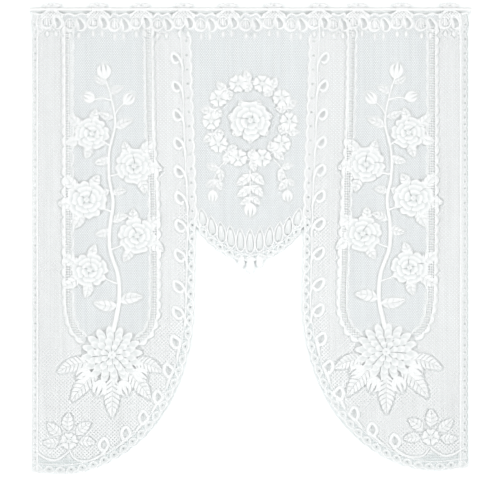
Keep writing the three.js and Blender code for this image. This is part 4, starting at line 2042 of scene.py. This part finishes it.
    def frond(self, foot: Points, turn: float, long: float, wide: float) -> None:
        """Work an upright pointed petal: a worked rim and a shaded body inside it.

        Args:
            foot: where it stands, in mm.
            turn: the way that it points, in degrees anticlockwise from the right.
            long: its length.
            wide: its width.
        """
        s = np.linspace(0, 1, 15)
        half = wide / 2 * np.sin(np.pi * s**0.72) ** 0.7
        sides = [np.column_stack([s * long, way * half]) for way in (1, -1)]
        outline = np.vstack([sides[0], sides[1][-2:0:-1]])
        ring = Line(foot + turned(np.vstack([outline, outline[:1]]), turn))
        self.shells.band(ring, 2.4, 0.6, self.lift + 0.3, True)
        share = np.linspace(-1, 1, 7)
        s = s[2:13, None]
        body = np.maximum(half * 0.66, 0.4)[2:13, None]
        grid = np.stack(np.broadcast_arrays(s * 0.94 * long, body * share), axis=-1)
        shade = np.clip(0.7 * (1 - s) + 0.2 * np.abs(share), 0, 1)
        places = foot + turned(grid.reshape(-1, 2), turn).reshape(grid.shape)
        self.shells.patch(places, self.lift + 0.5 + 0.7 * np.sqrt(1 - share**2), shade=shade)
        self.clear(foot + turned(outline * np.array([1.04, 1.12]), turn))

    def stem(self, knots: Sequence[tuple[float, float]], start: float, end: float, count: int = 40) -> None:
        """Work a stem.

        Args:
            knots: the chart places that it passes.
            start: half its width where it starts, in mm.
            end: half its width where it ends.
            count: how many points it gets.
        """
        line = curve_through(charted(knots), count)
        self.clear(strip(line, max(start, end) + self.halo))
        half = np.linspace(start, end, count)
        self.shells.band(Line(self.fit(line.points)), half, 0.7, self.lift + 0.2)

    def bud(self, column: float, row: float, turn: float, size: float) -> None:
        """Work a closed bud of three petals in two short leaves.

        Args:
            column: the chart column of its foot.
            row: the chart row of its foot.
            turn: the way that it points, in degrees anticlockwise from the right.
            size: its length in chart squares.
        """
        foot = chart(column, row)
        long = size * CHART_SQUARE
        s = np.linspace(0, 1, 13)
        parts = []
        for lean, wide, reach, base in ((1, 0.14, 0.90, 0.7), (-1, 0.14, 0.90, 0.7), (0, 0.125, 1.0, 1.0)):
            spine = np.column_stack([s * long * reach, lean * 0.29 * long * np.sin(np.pi * s * 0.85)])
            parts.append((spine, wide * long * np.sin(np.pi * s**0.7) ** 0.8, 0.7, base))
        for lean in (-1, 1):
            spine = np.column_stack([s * long * 0.42, lean * 0.30 * long * np.sin(s * 1.7)])
            parts.append((spine, 0.07 * long * np.sin(np.pi * s**0.8), 0.5, 0.5))
        for spine, width, crown, base in parts:
            line = Line(self.fit(foot + turned(spine, turn)))
            self.shells.band(line, np.maximum(width, 0.35), crown, self.lift + base)
        angle = np.linspace(0, 2 * np.pi, 17)[:-1]
        loop = np.column_stack([long * 0.5 + 0.62 * long * np.cos(angle), 0.46 * long * np.sin(angle)])
        self.clear(foot + turned(loop, turn))

    def spray(self, column: float, row: float, size: float, turn: float, leaves: Sequence) -> None:
        """Work a blossom with leaves that show from behind it, each by its angle, length and width."""
        for angle, length, width in leaves:
            self.leaf(*around((column, row), angle, size * 0.62, size * 0.62), angle, length, width)
        self.blossom(column, row, size, Bloom.CAMELLIA, turn)


@dataclass
class PanelWork:
    """The design of one side panel: a climbing branch that rises from a large dahlia."""

    panel: Panel
    dahlia: tuple = (112, 357)
    sprig: tuple = (69, 441)
    worker: Worker = field(init=False)

    def __post_init__(self) -> None:
        """Work the design."""
        self.worker = Worker(self.panel)
        self.add_branch()
        self.add_foot()
        self.add_corner()

    def add_branch(self) -> None:
        """Work the branch with its open blossoms, buds and leaves."""
        w = self.worker
        stem = (
            (113, 332), (119, 302), (118, 276), (110, 250), (110, 226), (113, 202),
            (109, 178), (109, 152), (115, 124), (111, 98), (105, 78),
        )
        w.stem(stem, 7.5, 2.4, 100)
        for knots in (
            ((118, 284), (108, 280), (98, 274)),
            ((110, 250), (120, 246), (130, 240)),
            ((112, 212), (102, 208), (94, 204)),
            ((109, 176), (118, 174), (126, 170)),
            ((110, 146), (104, 142), (98, 138)),
            ((114, 116), (119, 108), (124, 103)),
            ((111, 100), (101, 98), (94, 100)),
        ):
            w.stem(knots, 3.2, 2.2, 16)
        for column, row, turn, length, width in (
            (119, 302, 12, 25, 12),
            (118, 306, 172, 25, 12),
            (111, 230, 196, 17, 9),
            (112, 222, 22, 18, 9),
            (110, 190, 196, 16, 8),
            (112, 194, 14, 15, 8),
            (110, 158, 198, 17, 9),
            (115, 128, 24, 20, 10),
            (114, 118, 160, 17, 8),
            (110, 94, 28, 15, 8),
            (106, 84, 150, 14, 7),
        ):
            w.leaf(column, row, turn, length, width)
        w.spray(90, 270, 18.5, 10, ((150, 20, 12), (212, 21, 12), (262, 17, 11), (78, 15, 10)))
        w.spray(137, 236, 19.5, 40, ((38, 18, 12), (-30, 19, 12), (98, 16, 11), (242, 17, 11)))
        w.spray(87, 200, 20.5, -12, ((130, 20, 12), (188, 17, 12), (246, 19, 12), (64, 15, 11)))
        w.spray(134, 166, 19.5, 20, ((52, 20, 12), (-8, 17, 12), (292, 18, 11), (112, 15, 10)))
        w.spray(92, 134, 17.5, 60, ((140, 19, 11), (200, 17, 11), (80, 15, 10), (256, 15, 10)))
        w.bud(124, 104, 48, 15)
        w.bud(95, 100, 158, 14)
        w.bud(105, 79, 98, 17)

    def add_foot(self) -> None:
        """Work the dahlia at the foot of the branch, over a fan of broad leaves and buds."""
        w = self.worker
        for turn, length, width, curl in (
            (196, 37, 15, -0.08),
            (228, 41, 16, -0.05),
            (270, 42, 17, 0.0),
            (312, 38, 16, 0.05),
            (344, 33, 15, 0.08),
        ):
            w.leaf(*around(self.dahlia, turn, 20, 19), turn, length, width, 8, curl)
        for turn, length in ((212, 30), (249, 32), (291, 32), (328, 30)):
            w.bud(*around(self.dahlia, turn, 26, 25), turn, length * 0.55)
        w.blossom(self.dahlia[0], self.dahlia[1] - 2, 31, Bloom.DAHLIA, 5)

    def add_corner(self) -> None:
        """Work a sprig with a small blossom in the outer corner, on the line that closes the panel."""
        w = self.worker
        below = (
            (38, 455), (46, 459), (56, 461), (66, 457), (76, 460), (88, 459),
            (98, 456), (104, 461), (84, 466), (60, 469), (38, 467),
        )
        # The strip under the line gets the grey edge filet: painted shade.
        w.clear(charted(below), Zone.EDGE)
        w.stem(((37.5, 453), (46, 458.5), (56, 460), (65, 455), (69, 451)), 3.8, 3.0, 30)
        w.stem(((70, 452), (76, 459.5), (86, 461), (97, 458), (106, 452)), 3.0, 3.0, 30)
        for turn, length, width in ((90, 19, 12), (140, 19, 11), (40, 19, 11), (184, 17, 10), (-4, 17, 10)):
            w.leaf(*around(self.sprig, turn, 9.5, 9.5), turn, length, width)
        w.blossom(*self.sprig, 9, Bloom.SMALL, 18)


@dataclass
class DropWork:
    """The design of the short drop: a wreath round one blossom, over a border of pointed petals."""

    worker: Worker = field(default_factory=Worker)
    middle: tuple = (250.2, 121)
    wreath: float = 39.0
    blossoms: int = 10
    inner_leaves: tuple = (64, 116, 167, 219, 270, 321, 373)
    pendants: tuple = ((-31, -845, 12, -889), (0, -850, 15, -909), (31, -845, 12, -889))
    pendant_form: tuple = ((0, 0.3, 0.6, 0.85, 1), (0.55, 0.85, 0.98, 0.6, 0.05))
    fronds: int = 11

    def __post_init__(self) -> None:
        """Work the design."""
        self.add_wreath()
        self.add_sprigs()
        self.add_border()

    def on_wreath(self, angle: float) -> tuple[float, float]:
        """The chart place on the wreath at an angle."""
        return around(self.middle, angle, self.wreath, self.wreath)

    def add_wreath(self) -> None:
        """Work the wreath of small blossoms and leaves, and the blossom inside it."""
        w = self.worker
        step = 360 / self.blossoms
        ring = charted(self.on_wreath(angle) for angle in range(0, 360, 12))
        w.shells.band(curve_through(ring, 120, closed=True), 1.8, closed=True, crown=0.7)
        for k in range(self.blossoms):
            angle = step * (k + 0.5)
            w.leaf(*self.on_wreath(angle), angle + 22, 13, 9, 3)
            w.leaf(*self.on_wreath(angle), angle + 158, 12, 8.5, 3)
        for k in range(self.blossoms):
            w.blossom(*self.on_wreath(step * k), 9.6, Bloom.SMALL, 36 * k + 18)
        w.spray(*self.middle, 21.0, 90, [(angle, 10, 10) for angle in self.inner_leaves])

    def add_sprigs(self) -> None:
        """Work the three sprigs that hang from the wreath."""
        w = self.worker
        column = self.middle[0]
        w.stem([(column, row) for row in (170, 181, 192, 204)], 2.4, 1.8, 20)
        for row, length in ((174, 18), (186, 17), (197, 13)):
            for turn in (-38, 218):
                w.leaf(column, row, turn, length, length * 0.55, 3)
        w.bud(column, 203, 270, 15)
        for side in (-1, 1):
            way = 90 - 90 * side
            knots = [(column + side * out, row) for out, row in ((23, 159), (31, 168), (36, 179), (37, 190))]
            w.stem(knots, 2.2, 1.6, 20)
            w.leaf(*knots[1], way + 12 * side, 13, 8, 3)
            w.leaf(*knots[1], 270 - 8 * side, 14, 8, 3)
            w.leaf(*knots[2], way - 42 * side, 11, 7, 3)
            w.leaf(*knots[2], 270 - 34 * side, 14, 8, 3)
            w.bud(*knots[3], 270 + 4 * side, 13)

    def add_border(self) -> None:
        """Work the border of pointed petals that stand on the lower edge."""
        way = DROP.path().points
        way = way[np.argsort(way[:, 0])]
        columns = np.linspace(way[0, 0], way[-1, 0], self.fronds + 2)[1:-1]
        for k, x in enumerate(columns):
            aside = k - self.fronds // 2
            foot = np.array([x, np.interp(x, way[:, 0], way[:, 1]) + 25.0 + 1.4 * abs(aside)])
            self.worker.frond(foot, 90 - 2.2 * aside, 86 - 4.0 * abs(aside), 31)

    def add_pendants(self) -> None:
        """Work the three small drops that hang at the middle of the lower edge."""
        s = np.linspace(0, 1, 17)
        for x, top, half, foot in self.pendants:
            line = Line(np.column_stack([np.full(17, x), top + (foot - top) * s]))
            self.worker.shells.band(line, half * np.interp(s, *self.pendant_form), crown=1.4)


# Studio


@dataclass(frozen=True)
class Studio:
    """A plain pale wall close behind the curtain, a pale floor, soft light and the camera."""

    wall_y: float = 0.025
    wall_half: float = 3.0
    wall_top: float = 1.2
    floor_z: float = -1.76
    floor_half: float = 6.0
    lens: float = 85.0
    sensor: float = 36.0
    view_width: float = 1.712
    aim: tuple = (-0.0017, -0.824)
    sky: float = 0.38
    lamp_places: tuple = ((-1.7, -4.1, -1.05), (1.7, -4.1, -1.05), (0.0, -4.1, 0.75))
    lamp_powers: tuple = (64.5, 64.5, 51.0)
    lamp_size: float = 1.4
    lamp_aim: tuple = (0.0, 0.0, -0.8)

    def add_sheet(self, corners: Sequence[tuple[float, float, float]], paint: StudioPaint, name: str) -> None:
        """Make one flat surface of the studio.

        Args:
            corners: its corners, in metres.
            paint: its paint.
            name: its name.
        """
        mesh = bpy.data.meshes.new(name)
        mesh.from_pydata(corners, [], [tuple(range(len(corners)))])
        mesh.materials.append(paint.build())
        made = bpy.data.objects.new(name, mesh)
        bpy.context.collection.objects.link(made)

    def add_lamp(self, name: str, place: tuple, power: float) -> None:
        """Make one soft lamp that faces the middle of the curtain.

        Args:
            name: its name.
            place: where it stands, in metres.
            power: its power, in watts.
        """
        lamp = bpy.data.lights.new(name, "AREA")
        lamp.shape = "DISK"
        lamp.size = self.lamp_size
        lamp.energy = power
        made = bpy.data.objects.new(name, lamp)
        bpy.context.collection.objects.link(made)
        made.location = place
        made.visible_camera = False
        aim = np.array(self.lamp_aim) - np.array(place)
        pitch = math.atan2(math.hypot(aim[0], aim[1]), -aim[2])
        made.rotation_euler = (pitch, 0.0, math.atan2(-aim[0], aim[1]))

    def add_camera(self) -> None:
        """Make the camera, level and square to the wall."""
        lens = bpy.data.cameras.new("camera")
        lens.lens = self.lens
        lens.sensor_width = self.sensor
        camera = bpy.data.objects.new("camera", lens)
        bpy.context.collection.objects.link(camera)
        camera.location = (self.aim[0], -self.view_width * self.lens / self.sensor, self.aim[1])
        camera.rotation_euler = (math.pi / 2, 0.0, 0.0)
        bpy.context.scene.camera = camera

    def build(self) -> None:
        """Set up the studio."""
        scene = bpy.context.scene
        scene.view_settings.view_transform = "Standard"
        half, y, low, high = self.wall_half, self.wall_y, self.floor_z, self.wall_top
        wall = [(-half, y, low), (half, y, low), (half, y, high), (-half, y, high)]
        self.add_sheet(wall, StudioPaint("studio_wall_paint", "f6f9f9", one_sided=True), "studio_wall")
        half = self.floor_half
        floor = [(-half, -half, low), (half, -half, low), (half, half, low), (-half, half, low)]
        self.add_sheet(floor, StudioPaint("studio_floor_paint", "eef0f0"), "studio_floor")
        world = bpy.data.worlds.new("studio_air")
        world.use_nodes = True
        ground = world.node_tree.nodes["Background"]
        ground.inputs["Color"].default_value = colour("ffffff")
        ground.inputs["Strength"].default_value = self.sky
        scene.world = world
        for n, (place, power) in enumerate(zip(self.lamp_places, self.lamp_powers), 1):
            self.add_lamp(f"softbox_{n}", place, power)
        self.add_camera()


def zone_frames(garlands: Garlands) -> list[Patch]:
    """Lay out the two main grounds of each panel.

    Args:
        garlands: the garlands that part them.

    Returns:
        The close net outside the garlands and the open net within them.
    """
    found = []
    for panel in PANELS:
        (outer, _), (inner, _) = garlands.ways(panel)
        x = panel.side * (panel.outer_x - 12)
        edge, upper = (line.edge(10.0, 2, 0.0).points for line in (panel.free_edge(), panel.upper_edge()))
        whole = np.vstack([[[x, -24.0]], upper[::-1], edge, [[x, panel.corner_z + 14]]])
        found.append(Patch(Zone.DENSE, whole))
        found.append(Patch(Zone.OPEN, np.vstack([outer.points[::6], inner.points[::-6]])))
    return found


def main() -> None:
    """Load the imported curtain, dress it and set up the studio."""
    logging.basicConfig(level=logging.INFO, format="%(name)s: %(message)s")
    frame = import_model()
    Studio().build()
    knit = KnitFinish("polyester_raschel_knit").build()
    enamel = EnamelFinish().build()
    for place in frame["nodes"]["rod"].material_slots:
        place.material = enamel
    edges, vine, garlands, heading = Edges(), Vine(), Garlands(), Heading()
    works = [PanelWork(panel) for panel in PANELS]
    drop_work = DropWork()
    net = Net()
    net.patches += zone_frames(garlands) + edges.bands()
    for work in (*works, drop_work):
        net.patches += work.worker.patches
    net.patches += garlands.patches() + vine.patches() + edges.plates() + heading.patches()
    ground = net.build()
    made = [*edges.build(knit), vine.build(knit), *garlands.build(knit), *heading.build(knit)]
    for work, name in zip(works, ("branch_left", "branch_right")):
        made.append(piece(work.worker.shells.mesh(name), knit))
    drop_work.add_pendants()
    made.append(piece(drop_work.worker.shells.mesh("drop_wreath"), knit))


if __name__ == "__main__":
    main()
